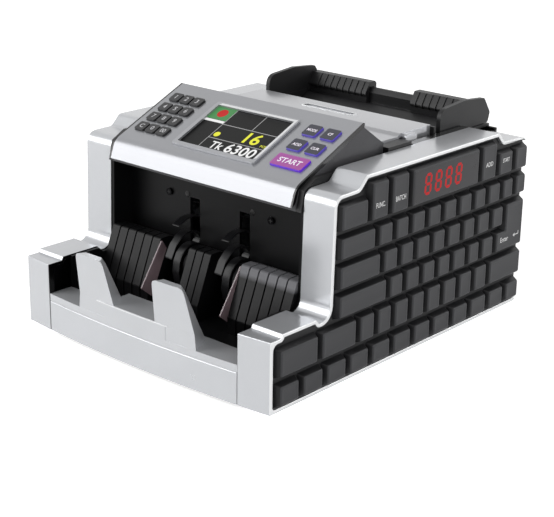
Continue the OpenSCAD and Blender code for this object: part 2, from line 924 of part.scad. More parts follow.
// Push keys: [name, x, v up the slope, width, height].
digit_x = [for (step = [0 : 2]) -pod_half + 13.5 + 12.2 * step];
digit_v = [65.5, 51, 36.7, 22.3];
digit_size = [10.3, 10];
tool_size = [13, 13];
tool_x = [pod_half - 34.2, pod_half - 16];
tool_v = [43.5, 63];
start_size = [31, 14];
digit_names = [["key_1", "key_2", "key_3"], ["key_4", "key_5", "key_6"],
               ["key_7", "key_8", "key_9"], ["key_c", "key_0", "key_00"]];
keys = concat(
    [for (row = [0 : 3]) for (col = [0 : 2])
        [digit_names[row][col], digit_x[col], digit_v[row], digit_size.x, digit_size.y]],
    [["key_mode", tool_x.x, tool_v.y, tool_size.x, tool_size.y],
     ["key_cf", tool_x.y, tool_v.y, tool_size.x, tool_size.y],
     ["key_add", tool_x.x, tool_v.x, tool_size.x, tool_size.y],
     ["key_cur", tool_x.y, tool_v.x, tool_size.x, tool_size.y],
     ["key_start", (tool_x.x + tool_x.y) / 2, 23.5, start_size.x, start_size.y]]);

screen_at = [2.3, 41.5];
frame_side = 3.4;
key_proud = 1.8;
collar = 0.7;
collar_t = 0.8;
collar_rest = 0.05;   // gap between a key's collar and the fascia at rest

module rounded_block(w, h, z0, z1, r) {
    translate([0, 0, z0])
        linear_extrude(z1 - z0)
            polygon(smooth([[-w / 2, -h / 2, r], [w / 2, -h / 2, r],
                            [w / 2, h / 2, r], [-w / 2, h / 2, r]]));
}

module panel_fascia() {
    color(panel_grey)
        seat()
            difference() {
                union() {
                    along_x(-pod_half, 2 * pod_half)
                        polygon(concat(
                            [[wedge_in[0].x, wedge_in[0].y], [wedge_in[4].x, wedge_in[4].y],
                             [wedge_in[3].x, wedge_in[3].y], peak],
                            corner(peak, nose_b, nose_a, nose_round),
                            [nose_a]));
                    for (at = board_screws())
                        on_slope(at.x, at.y, -board_depth)
                            cylinder(r = post_r, h = board_depth - fascia_t + eps);
                }
                for (k = keys)
                    on_slope(k[1], k[2])
                        rounded_block(k[3] + 2 * key_gap, k[4] + 2 * key_gap,
                                      -fascia_t - past, past, 1.6);
                on_slope(screen_at.x, screen_at.y)
                    rounded_block(screen_w, screen_h, -fascia_t - past, past, 1);
            }
}

module display_frame() {
    color("#dfe1e4")
        seat()
            on_slope(screen_at.x, screen_at.y)
                difference() {
                    rounded_block(screen_w + 2 * frame_side, screen_h + 2 * frame_side, fit, frame_h, 2);
                    rounded_block(screen_w - 1, screen_h - 1, -past, frame_h + past, 1);
                }
}

module display_screen() {
    color("#0c0d10")
        seat()
            on_slope(screen_at.x, screen_at.y)
                rounded_block(screen_w - 2 * fit, screen_h - 2 * fit, -fascia_t - 2, -0.2, 0.9);
}

board_depth = 7;
board_t = 1.6;
post_r = 2;
board_v = [6, 78];
post_v = [10, 74.5];
post_side = pod_half - 6.5;
post_mid = screen_w / 2 + frame_side + 6;
function board_screws() = concat(
    [for (x = [-post_side, post_side]) for (v = post_v) [x, v]],
    [for (side = [-1, 1]) [screen_at.x + side * post_mid, post_v[0]]]);
module keypad_board() {
    color("#1f5b34")
        seat()
            on_slope(-pod_half + pod_t + 1, board_v[0], -board_depth - board_t)
                cube([2 * (pod_half - pod_t - 1), board_v[1] - board_v[0], board_t]);
}

module push_key(name) {
    for (k = keys)
        if (k[0] == name)
            seat()
                on_slope(k[1], k[2]) {
                    rounded_block(k[3], k[4], -fascia_t - collar_t, key_proud, 1.3);
                    rounded_block(k[3] + 2 * collar, k[4] + 2 * collar,
                                  -fascia_t - collar_t, -fascia_t - collar_rest, 1.3);
                    translate([0, 0, -board_depth + key_travel + 0.3])
                        cylinder(r = 2, h = board_depth - fascia_t - key_travel - 0.3);
                }
}

module key_1() { color(black) push_key("key_1"); }
module key_2() { color(black) push_key("key_2"); }
module key_3() { color(black) push_key("key_3"); }
module key_4() { color(black) push_key("key_4"); }
module key_5() { color(black) push_key("key_5"); }
module key_6() { color(black) push_key("key_6"); }
module key_7() { color(black) push_key("key_7"); }
module key_8() { color(black) push_key("key_8"); }
module key_9() { color(black) push_key("key_9"); }
module key_c() { color(black) push_key("key_c"); }
module key_0() { color(black) push_key("key_0"); }
module key_00() { color(black) push_key("key_00"); }
module key_mode() { color("#2a2f55") push_key("key_mode"); }
module key_cf() { color("#2a2f55") push_key("key_cf"); }
module key_add() { color("#2a2f55") push_key("key_add"); }
module key_cur() { color("#2a2f55") push_key("key_cur"); }
module key_start() { color("#b0389c") push_key("key_start"); }

// ---- covers and hopper ----
cover_t = 2.5;
cover_step = 28;
finger_half = 27;
shoulder = 15;                             // length of the cover's shoulders beside the shells
flange_y = pod_back + cover_step + 4.5;
module top_cover() {
    color(silver)
        seat()
            difference() {
                along_x(-cover_half, 2 * cover_half)
                    polygon([[pod_back + slack, cover_z - cover_t - 2],
                             [pod_back + cover_step, cover_z - cover_t - 2],
                             [pod_back + cover_step + 4, cover_z - cover_t],
                             [hopper_y - slack - cover_t, cover_z - cover_t],
                             [hopper_y - slack - cover_t, cover_z - 14],
                             [hopper_y - slack, cover_z - 14],
                             [hopper_y - slack, cover_z],
                             [pod_back + cover_step + 2, cover_z],
                             [pod_back + cover_step - 2, cover_z - 2],
                             [pod_back + slack, cover_z - 2]]);
                box(-finger_half, finger_half, hopper_y - 21, hopper_y - 15, cover_z - 1.2,
                    cover_z + past);
            }
    color(silver)
        seat()
            both_sides() {
                box(cover_half - cover_t, cover_half, flange_y, hopper_y - slack,
                    case_h - 8, cover_z - eps);
                along_x(cover_half - eps, tray_half + 0.4 - cover_half)
                    polygon(smooth([[flange_y, case_h - 3, 0],
                                    [flange_y + shoulder, case_h - 3, 0],
                                    [flange_y + shoulder, cover_z - 1, 3],
                                    [flange_y, cover_z - 1, 3]]));
            }
}

rear_top = ledge_z - tray_t;
inlet_x = -62;
inlet_z = 38;
inlet_half = [26, 13];
screw_r = 1.5;
rear_screw_x = plate_out - 9;
rear_screw_z = [22, case_h - 42];
vents = 9;
vent_pitch = 8;
module rear_cover() {
    color(black)
        seat()
            difference() {
                box(-bay_half + slack, bay_half - slack, case_d - shell_t, case_d, 0, rear_top);
                box(inlet_x - inlet_half.x - fit, inlet_x + inlet_half.x + fit,
                    case_d - shell_t - past, case_d + past,
                    inlet_z - inlet_half.y - fit, inlet_z + inlet_half.y + fit);
                for (i = [0 : vents - 1])
                    box(8 + i * vent_pitch, 11 + i * vent_pitch,
                        case_d - shell_t - past, case_d + past, 30, 62);
                both_sides()
                    for (z = rear_screw_z)
                        translate([rear_screw_x, case_d - shell_t - past, z])
                            rotate([-90, 0, 0])
                                cylinder(r = screw_r + fit, h = shell_t + 2 * past);
            }
}

rail_y = [case_d - 12.5, case_d - 6];
rail_top = ledge_z + 13.5;
rail_slope = 3;                            // chamfer along the rail's front
slide_gap = 0.3;
kicker_slot = kicker_w + 3;
cos_f = cos(floor_slope);
sin_f = sin(floor_slope);
// Back end of the slots: where the tyre leaves the floor's underside, and room to turn.
slot_end = kicker_y - (kicker_r - kicker_proud) * sin_f + 2.5
           + sqrt(pow(kicker_r, 2) - pow(kicker_r - kicker_proud - tray_t, 2)) / cos_f;
module hopper_tray() {
    low = tray_low;
    color(black)
        seat()
            difference() {
                union() {
                    along_x(-tray_half, 2 * tray_half)
                        polygon([low,
                                 [low.x + tray_t * sin_f, low.y - tray_t * cos_f],
                                 [ledge_y + 1, ledge_z - tray_t],
                                 [case_d, ledge_z - tray_t],
                                 [case_d, ledge_z],
                                 [ledge_y, ledge_z]]);
                    box(-tray_half, tray_half, hopper_y, hopper_y + tray_t,
                        low.y + 4, cover_z - 1.5);
                    both_sides()
                        along_x(tray_half - tray_t, tray_t)
                            polygon([[hopper_y, low.y + 4],
                                     [low.x + tray_t * sin_f, low.y - tray_t * cos_f],
                                     [ledge_y + 1, ledge_z - tray_t],
                                     [case_d - 4, ledge_z - tray_t],
                                     [case_d - 4, ledge_z + 0.5],
                                     [hopper_y, ledge_z + 0.5]]);
                    along_x(-rail_half, 2 * rail_half)
                        polygon([[rail_y.x, ledge_z - 1],
                                 [rail_y.y, ledge_z - 1],
                                 [rail_y.y, rail_top - 1],
                                 [rail_y.y - 1, rail_top],
                                 [rail_y.x + rail_slope, rail_top],
                                 [rail_y.x, rail_top - 1.4 * rail_slope]]);
                }
                for (x = [-feed_x, feed_x])
                    box(x - kicker_slot / 2, x + kicker_slot / 2, hopper_y + tray_t + eps, slot_end,
                        low.y - 12, ledge_z - 3);
            }
}

guide_out = tray_half - 0.3;
rail_half = guide_out - guide_t - guide_travel - 1;   // so that the fences stay clear of it
arm_in = guide_travel + 1;
arm_front = rail_y.x - 4.3;
arm_back = rail_y.y + 3.5;
arm_top = rail_top + 5;
arm_nose = 1.4;         // how far an arm's ribbed nose overhangs
comb_ribs = 8;
comb_t = 1.2;
comb_pitch = 7.2;
comb_edge = 5;          // from an arm's inner end to its first rib
comb_proud = 1;
skirt_t = 2;
module hopper_guide() {
    skirt_low = tray_low.y + 0.9;
    difference() {
        union() {
            along_x(guide_out - guide_t, guide_t)
                polygon(smooth([
                    [hopper_y + 9, ledge_z + 1.2, 0],
                    [arm_back, ledge_z + 1.2, 3],
                    [arm_back + 2.5, ledge_z + 10, 3],
                    [arm_back - 7, ledge_z + guide_rise - 2.5, 3],
                    [case_d - 38, ledge_z + guide_rise, 8],
                    [hopper_y + 9, ledge_z + guide_rise - 3, 9]]));
            along_x(tray_half - tray_t - slack - skirt_t, skirt_t)
                polygon([[hopper_y + 9, skirt_low + (hopper_y + 9 - tray_low.x) * tan(floor_slope)],
                         [ledge_y - 1, skirt_low + (ledge_y - 1 - tray_low.x) * tan(floor_slope)],
                         [ledge_y - 1, ledge_z + 3],
                         [hopper_y + 9, ledge_z + 3]]);
            along_x(arm_in, guide_out - guide_t + eps - arm_in)
                polygon([[arm_front, ledge_z + slide_gap],
                         [arm_back, ledge_z + slide_gap],
                         [arm_back, arm_top - 2],
                         [arm_back - 2, arm_top],
                         [arm_front + 4.5, arm_top],
                         [arm_front - arm_nose, arm_top - 9],
                         [arm_front - arm_nose, arm_top - 11],
                         [arm_front, arm_top - 13]]);
            for (i = [0 : comb_ribs - 1])
                along_x(arm_in + comb_edge + i * comb_pitch, comb_t)
                    polygon([[arm_front - arm_nose - comb_proud, arm_top - 11],
                             [arm_front - arm_nose + 0.5, arm_top - 13],
                             [arm_front + 3, arm_top - 13],
                             [arm_front + 6, arm_top],
                             [arm_front + 4.5 - comb_proud, arm_top],
                             [arm_front - arm_nose - comb_proud, arm_top - 9]]);
        }
        box(0, guide_out - guide_t, rail_y.x - slide_gap, rail_y.y + slide_gap, ledge_z - past,
            rail_top + slide_gap);
    }
}

module hopper_guide_right() {
    color("#232326")
        seat()
            hopper_guide();
}

module hopper_guide_left() {
    color("#232326")
        seat()
            mirror([1, 0, 0])
                hopper_guide();
}

// ---- electrics ----
board_z = 8;
board_posts_x = [-90, -10];
board_posts_y = [130, 290];
module main_board() {
    color("#1f5b34")
        seat() {
            box(-96, -4, 122, 298, board_z, board_z + board_t);
            box(-80, -55, 240, 265, board_z + board_t - eps, board_z + 5);
            box(-40, -20, 250, 280, board_z + board_t - eps, board_z + 9);
            box(-80, -20, 130, 136, board_z + board_t - eps, board_z + 10);
        }
}

module power_supply() {
    color("#7f8387")
        seat() {
            box(20, 92, 190, 290, shell_t, shell_t + 2);
            box(28, 60, 200, 240, shell_t + 2 - eps, 34);
            box(66, 84, 205, 235, shell_t + 2 - eps, 24);
            translate([40, 265, shell_t + 2 - eps])
                cylinder(r = 10, h = 22);
        }
}

rocker_r = 9;
rocker_half = 6;
rocker_at = [inlet_x + 15, case_d - 5.2];
rocker_pin_r = 1.5;
socket_x = -10;       // middle of the socket from the middle of the inlet
socket_half = [13, 9.5];
socket_deep = 17;
socket_pins = [[socket_x - 7, -2], [socket_x, 2], [socket_x + 7, -2]];
module power_inlet() {
    color("#161618")
        seat()
            difference() {
                union() {
                    box(inlet_x - inlet_half.x, inlet_x + inlet_half.x, case_d - 22, case_d,
                        inlet_z - inlet_half.y, inlet_z + inlet_half.y);
                    box(inlet_x - inlet_half.x - 2, inlet_x + inlet_half.x + 2, case_d, case_d + inlet_rim,
                        inlet_z - inlet_half.y - 2, inlet_z + inlet_half.y + 2);
                }
                box(inlet_x + socket_x - socket_half.x, inlet_x + socket_x + socket_half.x,
                    case_d - socket_deep, case_d + 2,
                    inlet_z - socket_half.y, inlet_z + socket_half.y);
                box(rocker_at.x - rocker_half - 0.4, rocker_at.x + rocker_half + 0.4,
                    case_d - 15.5, case_d + 2, inlet_z - 10, inlet_z + 10);
                rod(rocker_pin_r + shaft_clear, rocker_at.x - rocker_half - 2,
                    rocker_at.x + rocker_half + 2, rocker_at.y, inlet_z);
            }
    color("#c9a94f")
        seat()
            for (pin = socket_pins)
                box(inlet_x + pin.x - 1, inlet_x + pin.x + 1, case_d - socket_deep - eps, case_d - 5,
                    inlet_z + pin.y - 2, inlet_z + pin.y + 2);
}

rocker_tilt = 8;
module rocker_switch() {
    color("#b3202a")
        seat() {
            translate([0, rocker_at.y, inlet_z])
                rotate([rocker_tilt, 0, 0])
                    along_x(rocker_at.x - rocker_half, 2 * rocker_half)
                        intersection() {
                            circle(r = rocker_r);
                            polygon([[-6, -rocker_r], [5.4, -rocker_r], [4, 0], [5.4, rocker_r],
                                     [-6, rocker_r]]);
                        }
            rod(rocker_pin_r, rocker_at.x - rocker_half - 1.6, rocker_at.x + rocker_half + 1.6,
                rocker_at.y, inlet_z);
        }
}

head_r = 3;
head_t = 1.8;
function well_screws() = [for (x = [-56, 56]) [x, pod_floor - 22]];
// A pan-head screw whose head lies on the face behind it; it points along +y.
module screw(x, y, z, length) {
    translate([x, y, z])
        rotate([-90, 0, 0]) {
            translate([0, 0, -head_t])
                cylinder(r = head_r, h = head_t);
            translate([0, 0, -eps])
                cylinder(r = screw_r, h = length);
        }
}

module case_screws() {
    color(steel)
        seat() {
            both_sides()
                for (z = rear_screw_z)
                    translate([rear_screw_x, case_d, z])
                        rotate([0, 0, 180])
                            screw(0, 0, 0, 8);
            for (at = well_screws())
                screw(at.x, well_back, at.y, 6);
        }
}

base_tray();
rubber_feet();
side_shell_left();
side_shell_right();
key_panel_left();
key_panel_right();
side_display_window();
front_bar();
stacker_front_plate();
stacker_well();
stacker_guide_left();
stacker_guide_right();
stacker_guide_middle();
note_deflectors();
stacker_shaft();
stacker_wheel_left();
stacker_wheel_right();
panel_pod();
panel_fascia();
display_frame();
display_screen();
keypad_board();
top_cover();
rear_cover();
hopper_tray();
hopper_guide_left();
hopper_guide_right();
frame_plate_left();
frame_plate_right();
shaft_bearings();
feed_shaft();
feed_tyres();
pinch_rollers();
kicker_shaft();
kicker_tyres();
drive_belts();
motor();
motor_pulley();
main_board();
power_supply();
power_inlet();
rocker_switch();
case_screws();
key_1();
key_2();
key_3();
key_4();
key_5();
key_6();
key_7();
key_8();
key_9();
key_c();
key_0();
key_00();
key_mode();
key_cf();
key_add();
key_cur();
key_start();
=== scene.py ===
"""Looks of a desk banknote counting machine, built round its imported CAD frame."""

import json
import logging
import math
from dataclasses import dataclass
from enum import Enum
from typing import Dict, List, Optional, Sequence, Tuple, Union

import bmesh
import bpy
from mathutils import Matrix, Vector


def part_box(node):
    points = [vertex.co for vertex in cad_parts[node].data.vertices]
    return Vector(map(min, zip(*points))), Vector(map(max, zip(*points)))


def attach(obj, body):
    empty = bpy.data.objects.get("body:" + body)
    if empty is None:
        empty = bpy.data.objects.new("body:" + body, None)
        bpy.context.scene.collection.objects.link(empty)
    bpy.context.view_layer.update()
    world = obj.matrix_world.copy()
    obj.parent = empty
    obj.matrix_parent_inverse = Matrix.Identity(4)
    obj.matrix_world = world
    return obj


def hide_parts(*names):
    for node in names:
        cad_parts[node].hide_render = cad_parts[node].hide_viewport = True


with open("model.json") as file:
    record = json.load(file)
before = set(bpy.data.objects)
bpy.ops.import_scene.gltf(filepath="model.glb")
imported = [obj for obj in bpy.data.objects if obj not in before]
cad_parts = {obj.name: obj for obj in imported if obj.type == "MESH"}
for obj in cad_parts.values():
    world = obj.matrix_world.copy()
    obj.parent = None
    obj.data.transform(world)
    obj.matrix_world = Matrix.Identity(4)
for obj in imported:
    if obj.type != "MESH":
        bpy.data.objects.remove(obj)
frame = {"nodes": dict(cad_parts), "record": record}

log = logging.getLogger("counting_machine")
Colour = Tuple[float, float, float]
Point2 = Tuple[float, float]
Place = Tuple[float, float, float]
Term = Union[float, "Signal"]
MM = 0.001
RIGHT, BACK, UP = Vector((1, 0, 0)), Vector((0, 1, 0)), Vector((0, 0, 1))


# ---------------------------------------------------------------- shader expressions
class Signal:
    """One output socket of a node tree; arithmetic on it adds Math nodes."""

    def __init__(self, recipe: "Recipe", socket: bpy.types.NodeSocket) -> None:
        """Keeps the socket and the recipe whose tree it belongs to."""
        self.recipe = recipe
        self.socket = socket

    def _math(self, operation: str, *terms: Term) -> "Signal":
        """Adds one Math node.

        Args:
            operation: the Math node's operation.
            terms: its inputs in order, numbers or signals.

        Returns:
            The node's value.
        """
        return self.recipe.node("ShaderNodeMath", {"operation": operation}, dict(enumerate(terms)))

    def __add__(self, other: Term) -> "Signal":
        """Sum."""
        return self._math("ADD", self, other)

    def __radd__(self, other: Term) -> "Signal":
        """Sum with the number first."""
        return self._math("ADD", other, self)

    def __sub__(self, other: Term) -> "Signal":
        """Difference."""
        return self._math("SUBTRACT", self, other)

    def __rsub__(self, other: Term) -> "Signal":
        """Difference with the number first."""
        return self._math("SUBTRACT", other, self)

    def __mul__(self, other: Term) -> "Signal":
        """Product."""
        return self._math("MULTIPLY", self, other)

    def __rmul__(self, other: Term) -> "Signal":
        """Product with the number first."""
        return self._math("MULTIPLY", other, self)

    def __truediv__(self, other: Term) -> "Signal":
        """Quotient."""
        return self._math("DIVIDE", self, other)

    def size(self) -> "Signal":
        """The value without its sign."""
        return self._math("ABSOLUTE", self)

    def at_most(self, other: Term) -> "Signal":
        """The smaller of the two."""
        return self._math("MINIMUM", self, other)

    def over(self, limit: Term) -> "Signal":
        """One where the value is above the limit, else nought."""
        return self._math("GREATER_THAN", self, limit)


class Recipe:
    """Builds one node tree of a material or of the world."""

    def __init__(self, owner: Union[bpy.types.Material, bpy.types.World]) -> None:
        """Empties the owner's tree and keeps it."""
        owner.use_nodes = True
        self.tree = owner.node_tree
        self.tree.nodes.clear()

    def node(
        self,
        kind: str,
        settings: Optional[Dict[str, object]] = None,
        values: Optional[Dict[Union[int, str], object]] = None,
        out: Union[int, str] = 0,
    ) -> Signal:
        """Makes a node, sets it up and links it.

        Args:
            kind: the node's type.
            settings: its properties, which are set first.
            values: numbers, colours, vectors or signals for its inputs, by name or number.
            out: the output to hand back.

        Returns:
            That output.
        """
        made = self.tree.nodes.new(kind)
        for key, value in (settings or {}).items():
            setattr(made, key, value)
        for key, value in (values or {}).items():
            if isinstance(value, Signal):
                self.tree.links.new(value.socket, made.inputs[key])
            else:
                made.inputs[key].default_value = value
        return Signal(self, made.outputs[out] if len(made.outputs) else None)

    def mix(self, factor: Term, first: object, second: object) -> Signal:
        """Blends two colours.

        Args:
            factor: share of the second colour.
            first: colour at factor nought.
            second: colour at factor one.

        Returns:
            The blended colour.
        """
        pick = [(*c, 1.0) if isinstance(c, tuple) and len(c) == 3 else c for c in (first, second)]
        return self.node(
            "ShaderNodeMix", {"data_type": "RGBA"}, {0: factor, 6: pick[0], 7: pick[1]}, out=2
        )

    def place(self) -> Signal:
        """Object coordinates in metres."""
        return self.node("ShaderNodeTexCoord", out="Object")

    def axis(self, name: str) -> Signal:
        """One axis of the object coordinates: X, Y or Z."""
        return self.node("ShaderNodeSeparateXYZ", {}, {"Vector": self.place()}, out=name)

    def facing(self, way: Vector) -> Signal:
        """How far the surface faces a direction, one where it faces it squarely."""
        normal = self.node("ShaderNodeNewGeometry", out="Normal")
        return self.node(
            "ShaderNodeVectorMath",
            {"operation": "DOT_PRODUCT"},
            {0: normal, 1: tuple(way)},
            out="Value",
        )

    def stretched(self, scale: Tuple[float, float, float]) -> Signal:
        """Object coordinates scaled along each axis."""
        return self.node(
            "ShaderNodeVectorMath", {"operation": "MULTIPLY"}, {0: self.place(), 1: scale}
        )

    def noise(self, scale: float, detail: float, where: Optional[Signal] = None) -> Signal:
        """Smooth noise.

        Args:
            scale: bumps per metre.
            detail: octaves.
            where: coordinates, or None for object coordinates.

        Returns:
            The noise value, about 0.5 on average.
        """
        return self.node(
            "ShaderNodeTexNoise",
            {},
            {"Vector": where or self.place(), "Scale": scale, "Detail": detail},
        )

    def bump(self, strength: float, distance: float, height: Signal) -> Signal:
        """A normal that follows a height, with its strength and its distance in metres."""
        return self.node(
            "ShaderNodeBump", {}, {"Strength": strength, "Distance": distance, "Height": height}
        )

    def surface(self, **sockets: object) -> None:
        """Ends the tree in a Principled shader.

        Args:
            sockets: its inputs, with underscores for spaces.
        """
        shader = self.node(
            "ShaderNodeBsdfPrincipled", {}, {k.replace("_", " "): v for k, v in sockets.items()}
        )
        self.node("ShaderNodeOutputMaterial", {}, {"Surface": shader})


def linear(colour: Colour) -> Colour:
    """A display colour as the linear one that a shader takes."""
    return tuple(c / 12.92 if c <= 0.04045 else ((c + 0.055) / 1.055) ** 2.4 for c in colour)


def scaled(colour: Colour, share: float) -> Colour:
    """The colour made lighter or darker by a share."""
    return tuple(min(1.0, c * share) for c in colour)


# ---------------------------------------------------------------- places
@dataclass(frozen=True)
class Datum:
    """Turns millimetres of the drawing, from the front corners' foot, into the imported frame."""

    back: float
    floor: float
    case_depth: float = 322.0

    @classmethod
    def from_frame(cls) -> "Datum":
        """Reads the shells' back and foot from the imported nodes."""
        low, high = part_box("side_shell_right")
        return cls(back=high.y, floor=low.z)

    def at(self, x: float, y: float, z: float) -> Vector:
        """A drawing point in metres.

        Args:
            x: to the right of the middle.
            y: behind the front corners.
            z: above the shells' foot.

        Returns:
            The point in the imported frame.
        """
        return Vector((x * MM, self.back + (y - self.case_depth) * MM, self.floor + z * MM))


DATUM = Datum.from_frame()


# ---------------------------------------------------------------- finishes
class Grain(Enum):
    """How a surface is textured when it is seen close up."""

    SPARK = "spark-eroded plastic"
    FLAKE = "metallic paint"
    BRUSHED = "rolled or brushed metal"
    GLOSS = "polished"
    RUBBER = "ground rubber"


MADE: Dict[str, bpy.types.Material] = {}


@dataclass(frozen=True)
class Look:
    """A named material that is built once."""

    name: str

    def make(self) -> bpy.types.Material:
        """The look's material, built when it is first asked for."""
        if self.name not in MADE:
            MADE[self.name] = bpy.data.materials.new(f"{self.name}_look")
            self.build(Recipe(MADE[self.name]))
        return MADE[self.name]

    def build(self, recipe: Recipe) -> None:
        """Builds the node tree; each kind of look has its own."""
        raise NotImplementedError


@dataclass(frozen=True)
class Patch:
    """A second colour on part of a node, beyond planes given in the drawing's millimetres."""

    colour: Colour
    wide: Optional[float] = None
    narrow: Optional[float] = None
    behind: Optional[float] = None
    before: Optional[float] = None
    above: Optional[float] = None
    blend: float = 0.0

    def mask(self, recipe: Recipe) -> Signal:
        """One inside the patch.

        Args:
            recipe: the tree that is being built.

        Returns:
            The mask.
        """
        found: Term = 0.0
        if self.wide is not None:
            found = found + recipe.axis("X").size().over(self.wide * MM)
        if self.narrow is not None:
            inside = (self.narrow * MM - recipe.axis("X").size()) / (0.35 * MM)
            found = found + inside.at_most(1.0) * inside.over(0.0)
        if self.behind is not None:
            found = found + recipe.axis("Y").over(DATUM.at(0, self.behind, 0).y)
        if self.before is not None:
            found = found + (DATUM.at(0, self.before, 0).y - recipe.axis("Y")).over(0.0)
        if self.above is not None:
            rise = recipe.axis("Z") - DATUM.at(0, 0, self.above).z
            found = found + (rise / (self.blend * MM)).at_most(1.0) * rise.over(0.0)
        return found.at_most(1.0)


@dataclass(frozen=True)
class Finish(Look):
    """A moulded, painted or metal surface with its own drift of colour, sheen and grain."""

    colour: Colour
    roughness: float
    grain: Grain = Grain.SPARK
    metallic: float = 0.0
    coat: float = 0.0
    drift: float = 0.06
    scuffs: float = 0.0
    alpha: float = 1.0
    level: float = 0.5
    patches: Tuple[Patch, ...] = ()

    def relief(self, recipe: Recipe) -> Tuple[Signal, float]:
        """The height that the bump follows.

        Args:
            recipe: the tree that is being built.

        Returns:
            The height and its distance in metres.
        """
        if self.grain is Grain.SPARK:
            return recipe.noise(2600.0, 3.0) * 0.7 + recipe.noise(900.0, 1.0) * 0.3, 0.00005
        if self.grain is Grain.FLAKE:
            return recipe.noise(900.0, 1.0), 0.000004
        if self.grain is Grain.BRUSHED:
            return recipe.noise(1.0, 3.0, recipe.stretched((60.0, 2600.0, 2600.0))), 0.00003
        if self.grain is Grain.RUBBER:
            return recipe.noise(1500.0, 4.0), 0.00012
        return recipe.noise(260.0, 1.0), 0.000006

    def build(self, recipe: Recipe) -> None:
        """Builds the node tree."""
        base = linear(self.colour)
        cloud = recipe.noise(34.0, 3.0)
        speck = recipe.noise(1900.0, 2.0)
        shade = recipe.mix(cloud, scaled(base, 1 - self.drift), scaled(base, 1 + self.drift))
        if self.grain is Grain.FLAKE:
            flake = recipe.node(
                "ShaderNodeTexVoronoi", {}, {"Vector": recipe.place(), "Scale": 2100.0}
            )
            shade = recipe.mix(flake * 0.05, shade, scaled(base, 0.7))
        else:
            shade = recipe.mix(speck * self.drift * 3, shade, scaled(base, 0.6))
        for patch in self.patches:
            shade = recipe.mix(patch.mask(recipe), shade, linear(patch.colour))
        sparkle = 0.02 if self.grain is Grain.FLAKE else 0.08
        rough = self.roughness + (cloud - 0.5) * 0.12 + (speck - 0.5) * sparkle
        if self.scuffs:
            streak = recipe.noise(1.0, 4.0, recipe.stretched((420.0, 60.0, 90.0)))
            worn = (streak - 0.62).at_most(0.1) * 6 * self.scuffs
            worn = worn * worn.over(0.0)
            shade = recipe.mix(worn, shade, scaled(base, 1.7))
            rough = rough + worn * 0.2
        height, depth = self.relief(recipe)
        recipe.surface(
            Base_Color=shade,
            Roughness=rough,
            Metallic=self.metallic,
            Coat_Weight=self.coat,
            Coat_Roughness=0.12,
            Specular_IOR_Level=self.level,
            Alpha=self.alpha,
            Normal=recipe.bump(0.5, depth, height),
        )


@dataclass(frozen=True)
class Glow(Look):
    """A glowing legend, segment or tile; on the printed legends of the keys the glow is painted
    light.
    """

    colour: Colour
    strength: float = 1.0
    body: float = 0.1

    def build(self, recipe: Recipe) -> None:
        """Builds the node tree with a faint unevenness of the light."""
        lit = linear(self.colour)
        uneven = recipe.noise(420.0, 2.0)
        recipe.surface(
            Base_Color=recipe.mix(uneven, scaled(lit, self.body), scaled(lit, self.body * 1.4)),
            Emission_Color=recipe.mix(uneven, scaled(lit, 0.86), lit),
            Emission_Strength=self.strength,
            Roughness=0.3 + uneven * 0.1,
            Specular_IOR_Level=0.15,
        )


@dataclass(frozen=True)
class SkirtKey(Look):
    """A key with a coloured top over a lit, clear skirt that shows on its sloping sides."""

    colour: Colour
    skirt: Colour
    glow: float = 0.55
    lean: float = 23.9

    def build(self, recipe: Recipe) -> None:
        """Builds the node tree; the skirt is where the surface turns off the panel's face."""
        out = Vector((0.0, -math.sin(math.radians(self.lean)), math.cos(math.radians(self.lean))))
        side = 1 - recipe.facing(out).over(0.93)
        uneven = recipe.noise(500.0, 2.0)
        top = recipe.mix(uneven, scaled(linear(self.colour), 0.88), scaled(linear(self.colour), 1.1))
        lit = linear(self.skirt)
        recipe.surface(
            Base_Color=recipe.mix(side, top, scaled(lit, 0.8)),
            Emission_Color=recipe.mix(side, (0.0, 0.0, 0.0), scaled(lit, self.glow)),
            Emission_Strength=1.0,
            Roughness=0.3 + uneven * 0.12,
            Coat_Weight=0.3,
            Coat_Roughness=0.12,
            Specular_IOR_Level=0.4,
            Normal=recipe.bump(0.4, 0.00001, uneven),
        )


@dataclass(frozen=True)
class CircuitBoard(Look):
    """Green lacquer over copper tracks."""

    def build(self, recipe: Recipe) -> None:
        """Builds the node tree."""
        tracks = recipe.node(
            "ShaderNodeTexBrick",
            {"offset": 0.37},
            {"Vector": recipe.place(), "Scale": 170.0, "Mortar Size": 0.03},
            out="Fac",
        )
        holes = recipe.node("ShaderNodeTexVoronoi", {}, {"Vector": recipe.place(), "Scale": 240.0})
        lacquer = recipe.mix(tracks, linear((0.05, 0.27, 0.15)), linear((0.13, 0.42, 0.24)))
        pads = 1 - holes.over(0.16)
        recipe.surface(
            Base_Color=recipe.mix(pads, lacquer, linear((0.72, 0.68, 0.55))),
            Roughness=0.32 + pads * 0.1,
            Metallic=pads * 0.8,
            Coat_Weight=0.4,
            Normal=recipe.bump(0.4, 0.00004, tracks),
        )


def silver(name: str, colour: Colour, *patches: Patch, metallic: float = 0.45) -> Finish:
    """The case's metallic paint in one of its shades."""
    return Finish(name, colour, 0.24, Grain.FLAKE, metallic, 0.4, 0.03, patches=patches)


def guide_plastic(name: str, *patches: Patch) -> Finish:
    """The black plastic of the pocket's ribbed guides."""
    return Finish(name, (0.06, 0.06, 0.065), 0.36, scuffs=0.1, level=0.16, patches=patches)


SILVER: Colour = (0.78, 0.787, 0.80)
BRIGHT: Colour = (0.93, 0.935, 0.94)
DARK: Colour = (0.03, 0.03, 0.033)
# Painted highlight: the side shells' outermost strip, past 134.3 mm, is painted near-white where
# their rounded rim catches the light.
PAINTED_HIGHLIGHT_FLANK = Patch(BRIGHT, wide=134.3)

